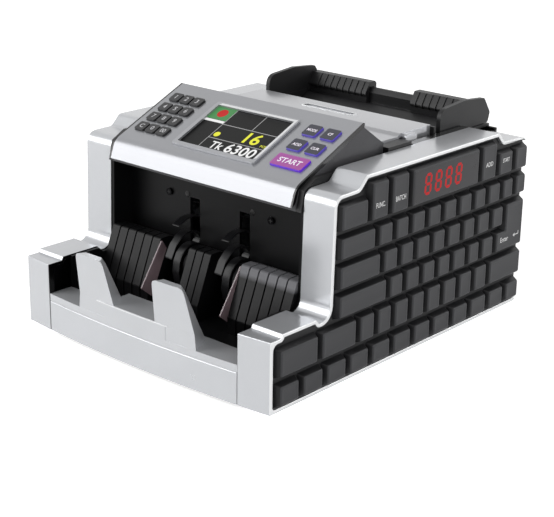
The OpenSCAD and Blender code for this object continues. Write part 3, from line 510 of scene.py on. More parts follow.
FINISHES: Dict[str, Look] = {
    f.name: f
    for f in (
        silver("silver_shell", SILVER, PAINTED_HIGHLIGHT_FLANK),
        silver("panel_silver", (0.61, 0.615, 0.63), Patch(DARK, wide=97.8)),
        Finish("bezel_silver", (0.66, 0.665, 0.68), 0.24, Grain.FLAKE, 0.45, 0.4, 0.02),
        Finish("black_moulding", (0.045, 0.045, 0.05), 0.4, scuffs=0.2, level=0.14),
        # Painted shade: below the cap tops, down the caps' sides and on the plate between them, the
        # keys take a much darker colour.
        Finish("cap_grey", (0.225, 0.227, 0.238), 0.44, scuffs=0.1, level=0.3,
               patches=(Patch((0.085, 0.086, 0.094), narrow=137.35),)),
        Finish("pod_grey", (0.31, 0.31, 0.32), 0.42, level=0.3,
               patches=(Patch((0.07, 0.07, 0.075), wide=99.6, behind=168.8),)),
        Finish("dark_window", (0.19, 0.188, 0.20), 0.3, Grain.GLOSS, level=0.3),
        Finish("screen_glass", (0.035, 0.038, 0.045), 0.1, Grain.GLOSS, coat=0.5, level=0.3),
        Finish("foot_rubber", (0.11, 0.11, 0.11), 0.8, Grain.RUBBER, level=0.3),
        Finish("clear_plate", (0.62, 0.54, 0.56), 0.16, Grain.GLOSS, coat=0.6, alpha=0.72),
        Finish("wheel_plastic", (0.09, 0.09, 0.097), 0.3, level=0.22),
        Finish("bright_steel", (0.74, 0.745, 0.76), 0.26, Grain.BRUSHED, 1.0,
               patches=(Patch((0.05, 0.05, 0.055), before=150.0),)),
        Finish("bush_brass", (0.76, 0.62, 0.36), 0.3, Grain.BRUSHED, 1.0),
        Finish("feed_rubber", (0.42, 0.25, 0.19), 0.72, Grain.RUBBER),
        Finish("roller_rubber", (0.13, 0.13, 0.135), 0.68, Grain.RUBBER, level=0.3),
        Finish("motor_metal", (0.58, 0.59, 0.6), 0.35, Grain.BRUSHED, 0.9),
        CircuitBoard("board_green"),
        Finish("inlet_black", (0.09, 0.09, 0.092), 0.4, level=0.3),
        Finish("switch_red", (0.66, 0.09, 0.11), 0.28, Grain.GLOSS, coat=0.4),
        Finish("digit_key", (0.13, 0.13, 0.137), 0.34, coat=0.2, level=0.3),
        SkirtKey("tool_key", (0.10, 0.10, 0.175), (0.34, 0.28, 0.70), 0.4),
        SkirtKey("start_key", (0.70, 0.30, 0.66), (0.36, 0.12, 0.76), 0.55),
    )
}
SHELL_LINED = silver("silver_shell_lined", SILVER, PAINTED_HIGHLIGHT_FLANK, Patch(DARK, narrow=105.5))
COVER_SILVER = silver("cover_silver", (0.70, 0.705, 0.72))
PLATE_SILVER = silver("plate_silver", (0.80, 0.807, 0.82), metallic=0.3)
GUIDE_BLACK = guide_plastic("guide_black")
# Painted highlight: the right guide is painted light grey along its top, where lamp light glances off
# the ribs.
GUIDE_PAINTED_HIGHLIGHT = guide_plastic("guide_painted_highlight", Patch((0.46, 0.46, 0.475), above=67.5, blend=4.0))
HOPPER_BLACK = Finish("hopper_black", (0.115, 0.115, 0.12), 0.42, scuffs=0.15, level=0.3)
# Painted highlight: a near-white finish for thin strips laid along edges that catch the light.
PAINTED_HIGHLIGHT_LINE = Finish("painted_highlight_line", BRIGHT, 0.2, Grain.GLOSS, 0.3, 0.3, 0.02)
LENS_DARK = Finish("lens_dark", (0.03, 0.028, 0.03), 0.2, Grain.GLOSS, coat=0.15, level=0.15)
# Painted shade: the dark of a screw's cross recess, laid on the head as a thin film.
RECESS_PAINTED_SHADE = Finish("recess_painted_shade", (0.07, 0.07, 0.07), 0.6, Grain.BRUSHED, 0.3)
# Painted light: key_ink and side_ink are white print given a faint glow of its own.
KEY_INK = Glow("key_ink", (0.80, 0.80, 0.81), 0.15, 0.8)
LIT_INK = Glow("lit_ink", (0.93, 0.91, 0.95), 0.3, 0.8)
SIDE_INK = Glow("side_ink", (0.88, 0.88, 0.88), 0.2, 0.8)
SEGMENT_RED = Glow("segment_red", (0.72, 0.02, 0.04), 1.0, 0.02)
SCREEN_SHADE = Glow("screen_shade", (0.035, 0.036, 0.035), 0.3, 0.25)
SCREEN_GREEN = Glow("screen_green", (0.30, 0.56, 0.33), 0.9)
SCREEN_WHITE = Glow("screen_white", (0.95, 0.95, 0.95), 0.95)
SCREEN_YELLOW = Glow("screen_yellow", (0.93, 0.93, 0.25), 0.95)
SCREEN_RED = Glow("screen_red", (0.76, 0.11, 0.08), 0.95)
SCREEN_LINE = Glow("screen_line", (0.70, 0.70, 0.70), 0.9)


# ---------------------------------------------------------------- faces
@dataclass(frozen=True)
class Face:
    """A flat face that legends and tiles lie on: its zero point and its two directions."""

    zero: Vector
    across: Vector
    up: Vector

    @property
    def out(self) -> Vector:
        """The direction out of the face."""
        return self.across.cross(self.up).normalized()

    def at(self, u: float, v: float, height: float = 0.0) -> Vector:
        """A point u across, v up and a height out of the face, in millimetres."""
        return self.zero + (self.across * u + self.up * v + self.out * height) * MM

    def frame(self, u: float, v: float, height: float) -> Matrix:
        """The matrix that lays a flat shape, drawn in metres, at that point."""
        turn = Matrix((self.across, self.up, self.out)).transposed().to_4x4()
        return Matrix.Translation(self.at(u, v, height)) @ turn


# ---------------------------------------------------------------- mesh work
def corner_arc(a: Point2, b: Point2, c: Point2, radius: float, steps: int) -> List[Point2]:
    """Rounds one corner of an outline.

    Args:
        a: the corner before.
        b: the corner to round.
        c: the corner after.
        radius: of the arc; it is kept within the sides.
        steps: pieces of the arc.

    Returns:
        The arc's points, always steps + 1 of them.
    """
    p, q, r = Vector(a), Vector(b), Vector(c)
    u, w = (p - q), (r - q)
    lu, lw = u.length, w.length
    u, w = u / lu, w / lw
    half = math.acos(max(-1.0, min(1.0, u.dot(w)))) / 2
    reach = min(radius / math.tan(half), 0.48 * lu, 0.48 * lw)
    radius = reach * math.tan(half)
    centre = q + (u + w).normalized() * radius / math.sin(half)
    first, last = q + u * reach - centre, q + w * reach - centre
    start = math.atan2(first.y, first.x)
    sweep = (math.atan2(last.y, last.x) - start + 3 * math.pi) % (2 * math.pi) - math.pi
    return [
        (
            centre.x + radius * math.cos(start + sweep * i / steps),
            centre.y + radius * math.sin(start + sweep * i / steps),
        )
        for i in range(steps + 1)
    ]


def outline(corners: Sequence[Point2], radius: float, steps: int = 4) -> List[Point2]:
    """A closed outline with rounded corners."""
    n = len(corners)
    found: List[Point2] = []
    for i in range(n):
        found += corner_arc(corners[i - 1], corners[i], corners[(i + 1) % n], radius, steps)
    return found


def shrunk(corners: Sequence[Point2], d: float) -> List[Point2]:
    """Moves each side of a counter-clockwise outline inwards by d."""
    n = len(corners)
    moved = []
    for i in range(n):
        a, b, c = Vector(corners[i - 1]), Vector(corners[i]), Vector(corners[(i + 1) % n])
        u, w = (b - a).normalized(), (c - b).normalized()
        nu, nw = Vector((-u.y, u.x)), Vector((-w.y, w.x))
        step = (nu + nw) * d / (1 + nu.dot(nw))
        moved.append((b.x + step.x, b.y + step.y))
    return moved


def rectangle(w: float, h: float, u: float = 0.0, v: float = 0.0) -> List[Point2]:
    """The corners of a rectangle about a middle, counter-clockwise."""
    return [
        (u - w / 2, v - h / 2),
        (u + w / 2, v - h / 2),
        (u + w / 2, v + h / 2),
        (u - w / 2, v + h / 2),
    ]


def circle(u: float, v: float, radius: float, steps: int = 20) -> List[Point2]:
    """The points of a circle about a middle, counter-clockwise."""
    turn = 2 * math.pi / steps
    return [(u + radius * math.cos(turn * t), v + radius * math.sin(turn * t)) for t in range(steps)]


def show(made: bpy.types.Object) -> bpy.types.Object:
    """Puts an object into the scene and hands it back."""
    bpy.context.scene.collection.objects.link(made)
    return made


def carried(made: bpy.types.Object, body: str) -> bpy.types.Object:
    """Puts a piece into the scene, on the CAD body that carries it, and reports it."""
    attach(show(made), body)
    log.info("%s rides on %s", made.name, body)
    return made


class Piece:
    """One modelled piece, collected as rings of points and turned into an object."""

    sharp = math.radians(38.0)

    def __init__(self, name: str) -> None:
        """Starts an empty mesh."""
        self.name = name
        self.bm = bmesh.new()

    def loft(self, rings: Sequence[Sequence[Vector]], closed: bool = False) -> None:
        """Joins rings of equal length by strips of faces.

        Args:
            rings: the rings in order.
            closed: True joins the last ring to the first, False caps both ends.
        """
        rows = [[self.bm.verts.new(p) for p in ring] for ring in rings]
        n = len(rows[0])
        pairs = list(zip(rows, rows[1:]))
        if closed:
            pairs.append((rows[-1], rows[0]))
        for a, b in pairs:
            for i in range(n):
                j = (i + 1) % n
                self.bm.faces.new((a[i], a[j], b[j], b[i]))
        if not closed:
            self.bm.faces.new(list(reversed(rows[0])))
            self.bm.faces.new(rows[-1])

    def slab(self, face: Face, shape: Sequence[Point2], low: float, high: float,
             edge: float = 0.0) -> None:
        """A flat plate on a face.

        Args:
            face: what it lies on.
            shape: its outline in the face's millimetres, counter-clockwise.
            low: height of its underside.
            high: height of its top.
            edge: size of the softened top edge.
        """
        rings = [[face.at(u, v, low) for u, v in shape]]
        if edge:
            rings.append([face.at(u, v, high - edge) for u, v in shape])
            inner = shrunk(shape, edge * 0.3)
            rings.append([face.at(u, v, high - edge * 0.3) for u, v in inner])
            shape = shrunk(shape, edge)
        rings.append([face.at(u, v, high) for u, v in shape])
        self.loft(rings)

    def band(self, face: Face, outer: Sequence[Point2], inner: Sequence[Point2],
             low: float, high: float) -> None:
        """A closed rim between two outlines with the same number of points."""
        self.loft(
            [
                [face.at(u, v, low) for u, v in outer],
                [face.at(u, v, high) for u, v in outer],
                [face.at(u, v, high) for u, v in inner],
                [face.at(u, v, low) for u, v in inner],
            ],
            closed=True,
        )

    def done(self, finish: Look) -> bpy.types.Object:
        """Turns the mesh into an object fixed to the case; its sharper edges stay sharp.

        Args:
            finish: what it is dressed in.

        Returns:
            The object.
        """
        bmesh.ops.recalc_face_normals(self.bm, faces=self.bm.faces)
        for edge in self.bm.edges:
            edge.smooth = len(edge.link_faces) == 2 and edge.calc_face_angle(0.0) < self.sharp
        for face in self.bm.faces:
            face.smooth = True
        mesh = bpy.data.meshes.new(self.name)
        self.bm.to_mesh(mesh)
        self.bm.free()
        mesh.materials.append(finish.make())
        made = carried(bpy.data.objects.new(self.name, mesh), "root")
        return made


def lettering(name: str, words: str, face: Face, u: float, v: float, tall: float,
              height: float, finish: Glow, body: str = "root", bold: float = 0.0,
              narrow: float = 1.0) -> bpy.types.Object:
    """Printed words or signs as a thin raised film.

    Args:
        name: the piece's name.
        words: what is printed.
        face: the face that it lies on.
        u: across of its middle in millimetres.
        v: up of its middle in millimetres.
        tall: height of a capital in millimetres.
        height: how far its underside lies out of the face's zero.
        finish: the ink or light.
        body: the CAD body that carries it.
        bold: how far each stroke is fattened, in millimetres.
        narrow: share of the letters' full width.

    Returns:
        The object.
    """
    curve_half, film, capital_height = 0.01, 0.03, 0.7
    curve = bpy.data.curves.new(name, "FONT")
    curve.body = words
    curve.size = 1.0
    curve.resolution_u = 3
    curve.extrude = curve_half
    curve.offset = bold / tall * capital_height
    typed = show(bpy.data.objects.new(name, curve))
    bpy.context.view_layer.update()
    seen = typed.evaluated_get(bpy.context.evaluated_depsgraph_get())
    mesh = bpy.data.meshes.new_from_object(seen)
    bpy.data.objects.remove(typed)
    xs = [p.co.x for p in mesh.vertices]
    ys = [p.co.y for p in mesh.vertices]
    scale = tall * MM / (max(ys) - min(ys))
    middle = Vector(((max(xs) + min(xs)) / 2, (max(ys) + min(ys)) / 2, 0.0))
    lay = face.frame(u, v, height)
    size = Matrix.Diagonal((scale * narrow, scale, film * MM / (2 * curve_half), 1.0))
    mesh.transform(lay @ size @ Matrix.Translation(-middle))
    mesh.materials.clear()
    mesh.materials.append(finish.make())
    mesh.name = name
    return carried(bpy.data.objects.new(name, mesh), body)


class Dresser:
    """Gives CAD nodes their finish and breaks their edges."""

    weld_gap = 2e-6
    flat_angle = math.radians(0.6)
    edge_angle = math.radians(34.0)
    face_weight = 60

    def __init__(self) -> None:
        """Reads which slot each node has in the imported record."""
        self.slots = {s["node"]: s["material_slot"] for s in frame["record"]["subparts"]}

    def paint(self, node: str, look: Optional[Look] = None) -> bpy.types.Object:
        """Gives a node the finish of its slot.

        Args:
            node: the CAD node's name.
            look: a finish of its own instead of its slot's.

        Returns:
            Its object.
        """
        made = frame["nodes"][node]
        material = (look or FINISHES[self.slots[node]]).make()
        if not made.material_slots:
            made.data.materials.append(material)
        for held in made.material_slots:
            held.material = material
        return made

    def soften(self, node: str, edge: float, steps: int = 3, look: Optional[Look] = None,
               clamp: bool = True, join: bool = True) -> None:
        """Paints a node and rounds its edges.

        Args:
            node: the CAD node's name.
            edge: width of the rounding in millimetres.
            steps: strips of faces in it.
            look: a finish of its own instead of its slot's.
            clamp: keeps every rounding within the shortest edge of the piece.
            join: makes one face of the triangles that lie in one plane first.
        """
        made = self.paint(node, look)
        weld = made.modifiers.new("weld", "WELD")
        weld.merge_threshold = self.weld_gap
        if join:
            flat = made.modifiers.new("flat", "DECIMATE")
            flat.decimate_type = "DISSOLVE"
            flat.angle_limit = self.flat_angle
        bevel = made.modifiers.new("edge", "BEVEL")
        bevel.width = edge * MM
        bevel.segments = steps
        bevel.limit_method = "ANGLE"
        bevel.angle_limit = self.edge_angle
        bevel.miter_outer = "MITER_ARC"
        bevel.use_clamp_overlap = clamp
        even = made.modifiers.new("even", "WEIGHTED_NORMAL")
        even.mode = "FACE_AREA"
        even.weight = self.face_weight
        log.info("%s softened by %.1f mm", node, edge)


DRESSER = Dresser()


# ---------------------------------------------------------------- case
@dataclass
class Case:
    """The silver side shells, the front bar and the covers."""

    shell_edge: float = 0.75
    bar_edge: float = 0.9
    cover_edge: float = 0.45
    base_edge: float = 0.4
    slot_y: float = 222.0
    slot_half: Point2 = (27.0, 3.0)
    rim: float = 1.1
    rear_screw_x: float = 100.0
    rear_screw_z: Point2 = (22.0, 117.0)
    well_screw_x: float = 56.0
    well_screw_z: float = 110.0
    well_screw_y: float = 86.2
    recess_arm: float = 1.7
    recess_half: float = 0.32

    def build(self) -> None:
        """Dresses the case."""
        for side in ("left", "right"):
            DRESSER.soften(f"side_shell_{side}", self.shell_edge, 4, look=SHELL_LINED, clamp=False)
        DRESSER.soften("front_bar", self.bar_edge, 4)
        DRESSER.soften("top_cover", self.cover_edge, look=COVER_SILVER)
        DRESSER.paint("rear_cover")
        for node in ("base_tray", "rubber_feet"):
            DRESSER.soften(node, self.base_edge, 2)
        self.finger_rim()
        self.screw_recesses()

    def finger_rim(self) -> None:
        """A raised rim round the cover's finger slot, painted near-white as the highlight along the
        slot's edge.
        """
        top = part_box("top_cover")[1].z
        face = Face(Vector((0, DATUM.at(0, self.slot_y, 0).y, top)), RIGHT, BACK)
        piece = Piece("cover_finger_rim")
        half, deep = self.slot_half
        piece.band(face, outline(rectangle(2 * (half + self.rim), 2 * (deep + self.rim)), 1.2),
                   outline(rectangle(2 * half, 2 * deep), 0.6), -0.3, 0.35)
        piece.done(PAINTED_HIGHLIGHT_LINE)

    def screw_recesses(self) -> None:
        """Lays a thin dark cross on each screw head of the case: painted shade standing in for the
        cross recess.
        """
        foot = DATUM.floor / MM
        sides = (1, -1)
        rear = Face(Vector((0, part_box("case_screws")[1].y, 0)), -RIGHT, UP)
        heads = [(side * self.rear_screw_x, z + foot) for side in sides for z in self.rear_screw_z]
        self.cross_marks("rear_screw_recesses", rear, heads)
        wall = Face(Vector((0, DATUM.at(0, self.well_screw_y, 0).y, 0)), RIGHT, UP)
        heads = [(-side * self.well_screw_x, self.well_screw_z + foot) for side in sides]
        self.cross_marks("well_screw_recesses", wall, heads)

    def cross_marks(self, name: str, face: Face, places: Sequence[Point2]) -> None:
        """One piece with a cross on each place.

        Args:
            name: the piece's name.
            face: the plane of the screw heads.
            places: the middle of each head.
        """
        arm, half = self.recess_arm, self.recess_half
        cross = [(-half, -arm), (half, -arm), (half, -half)]
        for _ in range(3):
            cross += [(-v, u) for u, v in cross[-3:]]
        piece = Piece(name)
        for u, v in places:
            piece.slab(face, [(u + a, v + b) for a, b in cross], -0.05, 0.02)
        piece.done(RECESS_PAINTED_SHADE)


# ---------------------------------------------------------------- side keyboards
@dataclass
class SideKeyboard:
    """The moulded keyboard on each side: rows of caps on a plate; the plate and the caps' sides are
    painted dark as shade.
    """

    half_width: float = 135.0
    sink: float = 3.0
    cap_height: float = 6.0
    gap: float = 2.4
    row_gap: float = 3.1
    taper: float = 2.0
    front: float = 71.9
    back: float = 321.4
    low_front: float = 6.5
    step_height: float = 60.0
    case_height: float = 159.0
    foot: float = 3.8
    shelf: float = 10.0
    roof: float = 5.5
    end_roof: float = 16.0
    end_caps: Point2 = (102.5, 286.0)
    low_heights: Tuple[float, ...] = (19, 24)
    high_heights: Tuple[float, ...] = (20, 20, 19, 32)
    low_rows: Tuple[Tuple[float, ...], ...] = (
        (22, 23, 23, 23, 23, 23, 22, 23, 22, 23, 22, 20),
        (45, 43, 20, 19, 20, 19, 20, 20, 20, 20, 50),
    )
    high_rows: Tuple[Tuple[float, ...], ...] = (
        (58, 18, 19, 18, 18, 19, 17, 18, 41),
        (50, 19, 18, 19, 18, 19, 18, 19, 18, 29),
        (41, 18, 17, 18, 18, 18, 18, 17, 18, 16, 16),
        (33, 22, 23, 92, 23, 22, 20),
    )

    @staticmethod
    def span(parts: Sequence[float], i: int, low: float, high: float, gap: float) -> Point2:
        """Start and end of entry i when the parts fill low to high with equal gaps."""
        share = (high - low - gap * (len(parts) - 1)) / sum(parts)
        start = low + share * sum(parts[:i]) + gap * i
        return start, start + share * parts[i]

    def low_z(self, row: int) -> Point2:
        """Heights of a row below the step."""
        top = self.step_height - self.shelf
        return self.span(self.low_heights, row, self.foot, top, self.row_gap + 1)

    def high_z(self, row: int) -> Point2:
        """Heights of a row that runs behind the step."""
        bottom, top = self.step_height - self.shelf + self.row_gap, self.case_height - self.roof
        return self.span(self.high_heights, row, bottom, top, self.row_gap)

    def high_y(self, row: int, i: int) -> Point2:
        """Front and back of cap i in a high row."""
        return self.span(self.high_rows[row], i, self.front, self.back, self.gap)

    def cap_outlines(self) -> List[List[Point2]]:
        """The foot of each cap as corners of (y, z), counter-clockwise."""
        found = []
        for row, parts in enumerate(self.low_rows):
            z0, z1 = self.low_z(row)
            for i in range(len(parts)):
                y0, y1 = self.span(parts, i, self.low_front, self.back, self.gap)
                found.append([(y0, z0), (y1, z0), (y1, z1), (y0, z1)])
        for row, parts in enumerate(self.high_rows):
            z0, z1 = self.high_z(row)
            for i in range(len(parts)):
                y0, y1 = self.high_y(row, i)
                last = i == len(parts) - 1
                if row == 1 and last:
                    continue
                if row == 0 and last:
                    y2, top = self.high_y(1, 9)[0], self.high_z(1)[1]
                    found.append([(y0, z0), (y1, z0), (y1, top), (y2, top), (y2, z1), (y0, z1)])
                    continue
                at_end = y0 < self.end_caps[0] or y1 > self.end_caps[1]
                top = min(z1, self.case_height - self.end_roof) if at_end else z1
                found.append([(y0, z0), (y1, z0), (y1, top), (y0, top)])
        return found

    def face(self, side: int) -> Face:
        """The plate's face on one side, with y across and z up as seen from outside."""
        x = side * (self.half_width - self.sink)
        return Face(DATUM.at(x, 0, 0), side * BACK, UP)

    def cap(self, piece: Piece, face: Face, corners: List[Point2]) -> None:
        """One cap with sloping sides, a rounded rim and a shallow dish.

        Args:
            piece: the keyboard's mesh.
            face: the plate's face.
            corners: the cap's foot on that face, counter-clockwise.
        """
        top = self.cap_height
        profile = (
            (-0.3, 0.0, 0.5), (top - 1.3, self.taper - 0.35, 1.2), (top - 0.7, self.taper - 0.1, 1.3),
            (top - 0.22, self.taper + 0.35, 1.4), (top, self.taper + 1.0, 1.4),
            (top - 0.1, self.taper + 2.0, 1.2), (top - 0.22, self.taper + 3.4, 0.9),
        )
        piece.loft([
            [face.at(u, v, h) for u, v in outline(shrunk(corners, inset), radius, 3)]
            for h, inset, radius in profile
        ])

    def plate(self, piece: Piece, node: str) -> None:
        """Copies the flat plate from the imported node, without its caps.

        Args:
            piece: the keyboard's mesh.
            node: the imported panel.
        """
        limit = (self.half_width - self.sink + 0.02) * MM
        source = bmesh.new()
        source.from_mesh(frame["nodes"][node].data)
        gone = [f for f in source.faces if any(abs(p.co.x) > limit for p in f.verts)]
        bmesh.ops.delete(source, geom=gone, context="FACES")
        seen: Dict[Tuple[float, float, float], bmesh.types.BMVert] = {}
        for f in source.faces:
            loop = []
            for p in f.verts:
                key = tuple(round(c, 7) for c in p.co)
                if key not in seen:
                    seen[key] = piece.bm.verts.new(p.co)
                loop.append(seen[key])
            if len(set(loop)) == len(loop) and not piece.bm.faces.get(loop):
                piece.bm.faces.new(loop)
        source.free()

    def build_side(self, side: int, name: str) -> None:
        """Models the keyboard of one side.

        Args:
            side: 1 for the right, -1 for the left.
            name: right or left.
        """
        piece = Piece(f"keyboard_{name}")
        self.plate(piece, f"key_panel_{name}")
        face = self.face(side)
        for corners in self.cap_outlines():
            flat = [(side * y, z) for y, z in corners]
            self.cap(piece, face, flat if side > 0 else flat[::-1])
        made = piece.done(FINISHES["cap_grey"])
        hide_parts(f"key_panel_{name}")

    def legends(self) -> None:
        """The words on the right-hand function caps."""
        face = self.face(1)
        top, bold = self.cap_height - 0.2, 0.08
        z0, z1 = self.high_z(3)
        for name, words, i, down, tall, narrow in (
            ("func", "FUNC.", 1, 3.6, 4.1, 0.7), ("batch", "BATCH", 2, 3.6, 4.1, 0.7),
            ("add", "ADD", 4, 1.6, 3.8, 0.9), ("start", "START", 5, 2.6, 3.5, 0.7),
        ):
            y0, y1 = self.high_y(3, i)
            lettering(f"side_legend_{name}", words, face, (y0 + y1) / 2, (z0 + z1) / 2 - down,
                      tall, top, SIDE_INK, bold=bold, narrow=narrow)
        y0, y1 = self.high_y(0, 8)
        z0, z1 = self.high_z(0)
        lettering("side_legend_enter", "Enter", face, y0 + 13.5, (z0 + z1) / 2 + 1.0, 4.4, top,
                  SIDE_INK, bold=bold, narrow=0.9)
        arrow = Piece("side_legend_return")
        u, v = y1 - 11.0, (z0 + z1) / 2 + 1.4
        hook = [(-4.2, 0), (-1.6, -1.7), (-1.6, -0.4), (4.2, -0.4), (4.2, 2.6), (3.4, 2.6),
                (3.4, 0.4), (-1.6, 0.4), (-1.6, 1.7)]
        arrow.slab(face, [(u + a, v + b) for a, b in hook], top, top + 0.06)
        arrow.done(SIDE_INK)

    def segments(self) -> None:
        """Four lit digits behind the display window."""
        low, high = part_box("side_display_window")
        middle_y, middle_z = (low.y + high.y) / 2, (low.z + high.z) / 2
        face = Face(Vector((high.x, middle_y, middle_z)), BACK, UP)
        piece = Piece("side_display_digits")
        tall, wide, stroke, lean, gap = 17.5, 9.0, 2.3, 0.07, 0.35
        pitch, forward = 13.6, 5.0
        half_t, half_w = tall / 2 - stroke / 2, wide / 2 - stroke / 2
        bars = [((-half_w, v), (half_w, v)) for v in (half_t, 0.0, -half_t)]
        bars += [((u, v), (u, v + half_t)) for v in (0.0, -half_t) for u in (-half_w, half_w)]
        for digit in range(4):
            shift = (digit - 1.5) * pitch - forward
            for start, end in bars:
                along = (Vector(end) - Vector(start)).normalized()
                side = Vector((-along.y, along.x)) * stroke / 2
                a, b = Vector(start) + along * gap, Vector(end) - along * gap
                tip = along * stroke / 2
                hexagon = [a, a + tip - side, b - tip - side, b, b - tip + side, a + tip + side]
                piece.slab(face, [(shift + p.x + lean * p.y, p.y) for p in hexagon], -0.1, 0.03)
        piece.done(SEGMENT_RED)

    def build(self) -> None:
        """Models both keyboards, the legends and the side display."""
        self.build_side(1, "right")
        self.build_side(-1, "left")
        DRESSER.paint("side_display_window")
        self.legends()
        self.segments()


# ---------------------------------------------------------------- stacker
@dataclass
class Stacker:
    """The note pocket: prongs, ribbed guides, deflectors and finned wheels."""

    plate_edge: float = 1.8
    rib_edge: float = 0.6
    front_bow: float = 7.5
    bow_radius: float = 1218.75
    plate_y: float = 0.6
    ridge_z: float = 43.6
    ridge_x: Point2 = (-43.0, 36.0)
    sill_z: float = 44.5
    wall_y: float = 88.0
    well_edge: float = 0.4
    wheel_edge: float = 0.55

    def build(self) -> None:
        """Dresses the pocket and adds its small parts."""
        DRESSER.soften("stacker_front_plate", self.plate_edge, 4, look=PLATE_SILVER)
        DRESSER.soften("stacker_well", self.well_edge, 2, join=False)
        for side, look in (("left", GUIDE_BLACK), ("right", GUIDE_PAINTED_HIGHLIGHT), ("middle", GUIDE_BLACK)):
            DRESSER.soften(f"stacker_guide_{side}", self.rib_edge, look=look, join=False)
        for side in ("left", "right"):
            DRESSER.soften(f"stacker_wheel_{side}", self.wheel_edge, 2, join=False)
        DRESSER.soften("note_deflectors", self.well_edge, 2)
        DRESSER.paint("stacker_shaft")
        self.plate_ridge()
        self.sensor_lenses()

    def bow(self, x: float) -> float:
        """How far back the front plate lies at x, in the drawing's millimetres."""
        sag = self.bow_radius - math.sqrt(self.bow_radius ** 2 - x * x)
        return self.plate_y - self.front_bow + sag

    def plate_ridge(self) -> None:
        """A fine raised line across the front plate at the feet of the prongs, painted near-white as
        the highlight along its top edge.
        """
        piece = Piece("front_plate_ridge")
        (left, right), steps = self.ridge_x, 16
        section = ((0.3, -0.45), (-0.35, -0.3), (-0.35, 0.3), (0.3, 0.45))
        xs = [left + (right - left) * i / steps for i in range(steps + 1)]
        piece.loft([[DATUM.at(x, self.bow(x) + b, self.ridge_z + c) for b, c in section] for x in xs])
        piece.done(PAINTED_HIGHLIGHT_LINE)

    def sensor_lenses(self) -> None:
        """Small dark lenses in the sill between the prongs and in the pocket's back."""
        piece = Piece("pocket_sensor_lenses")
        sill = Face(DATUM.at(0, 0, self.sill_z), RIGHT, BACK)
        wall = Face(DATUM.at(0, self.wall_y, 0), RIGHT, UP)
        for face, u, v, radius in ((sill, 4.5, 14.8, 3.4),
                                   (wall, -36.0, 112.0, 2.6), (wall, 36.0, 112.0, 2.6)):
            piece.slab(face, circle(u, v, radius), -0.1, 0.35, 0.3)
        piece.done(LENS_DARK)


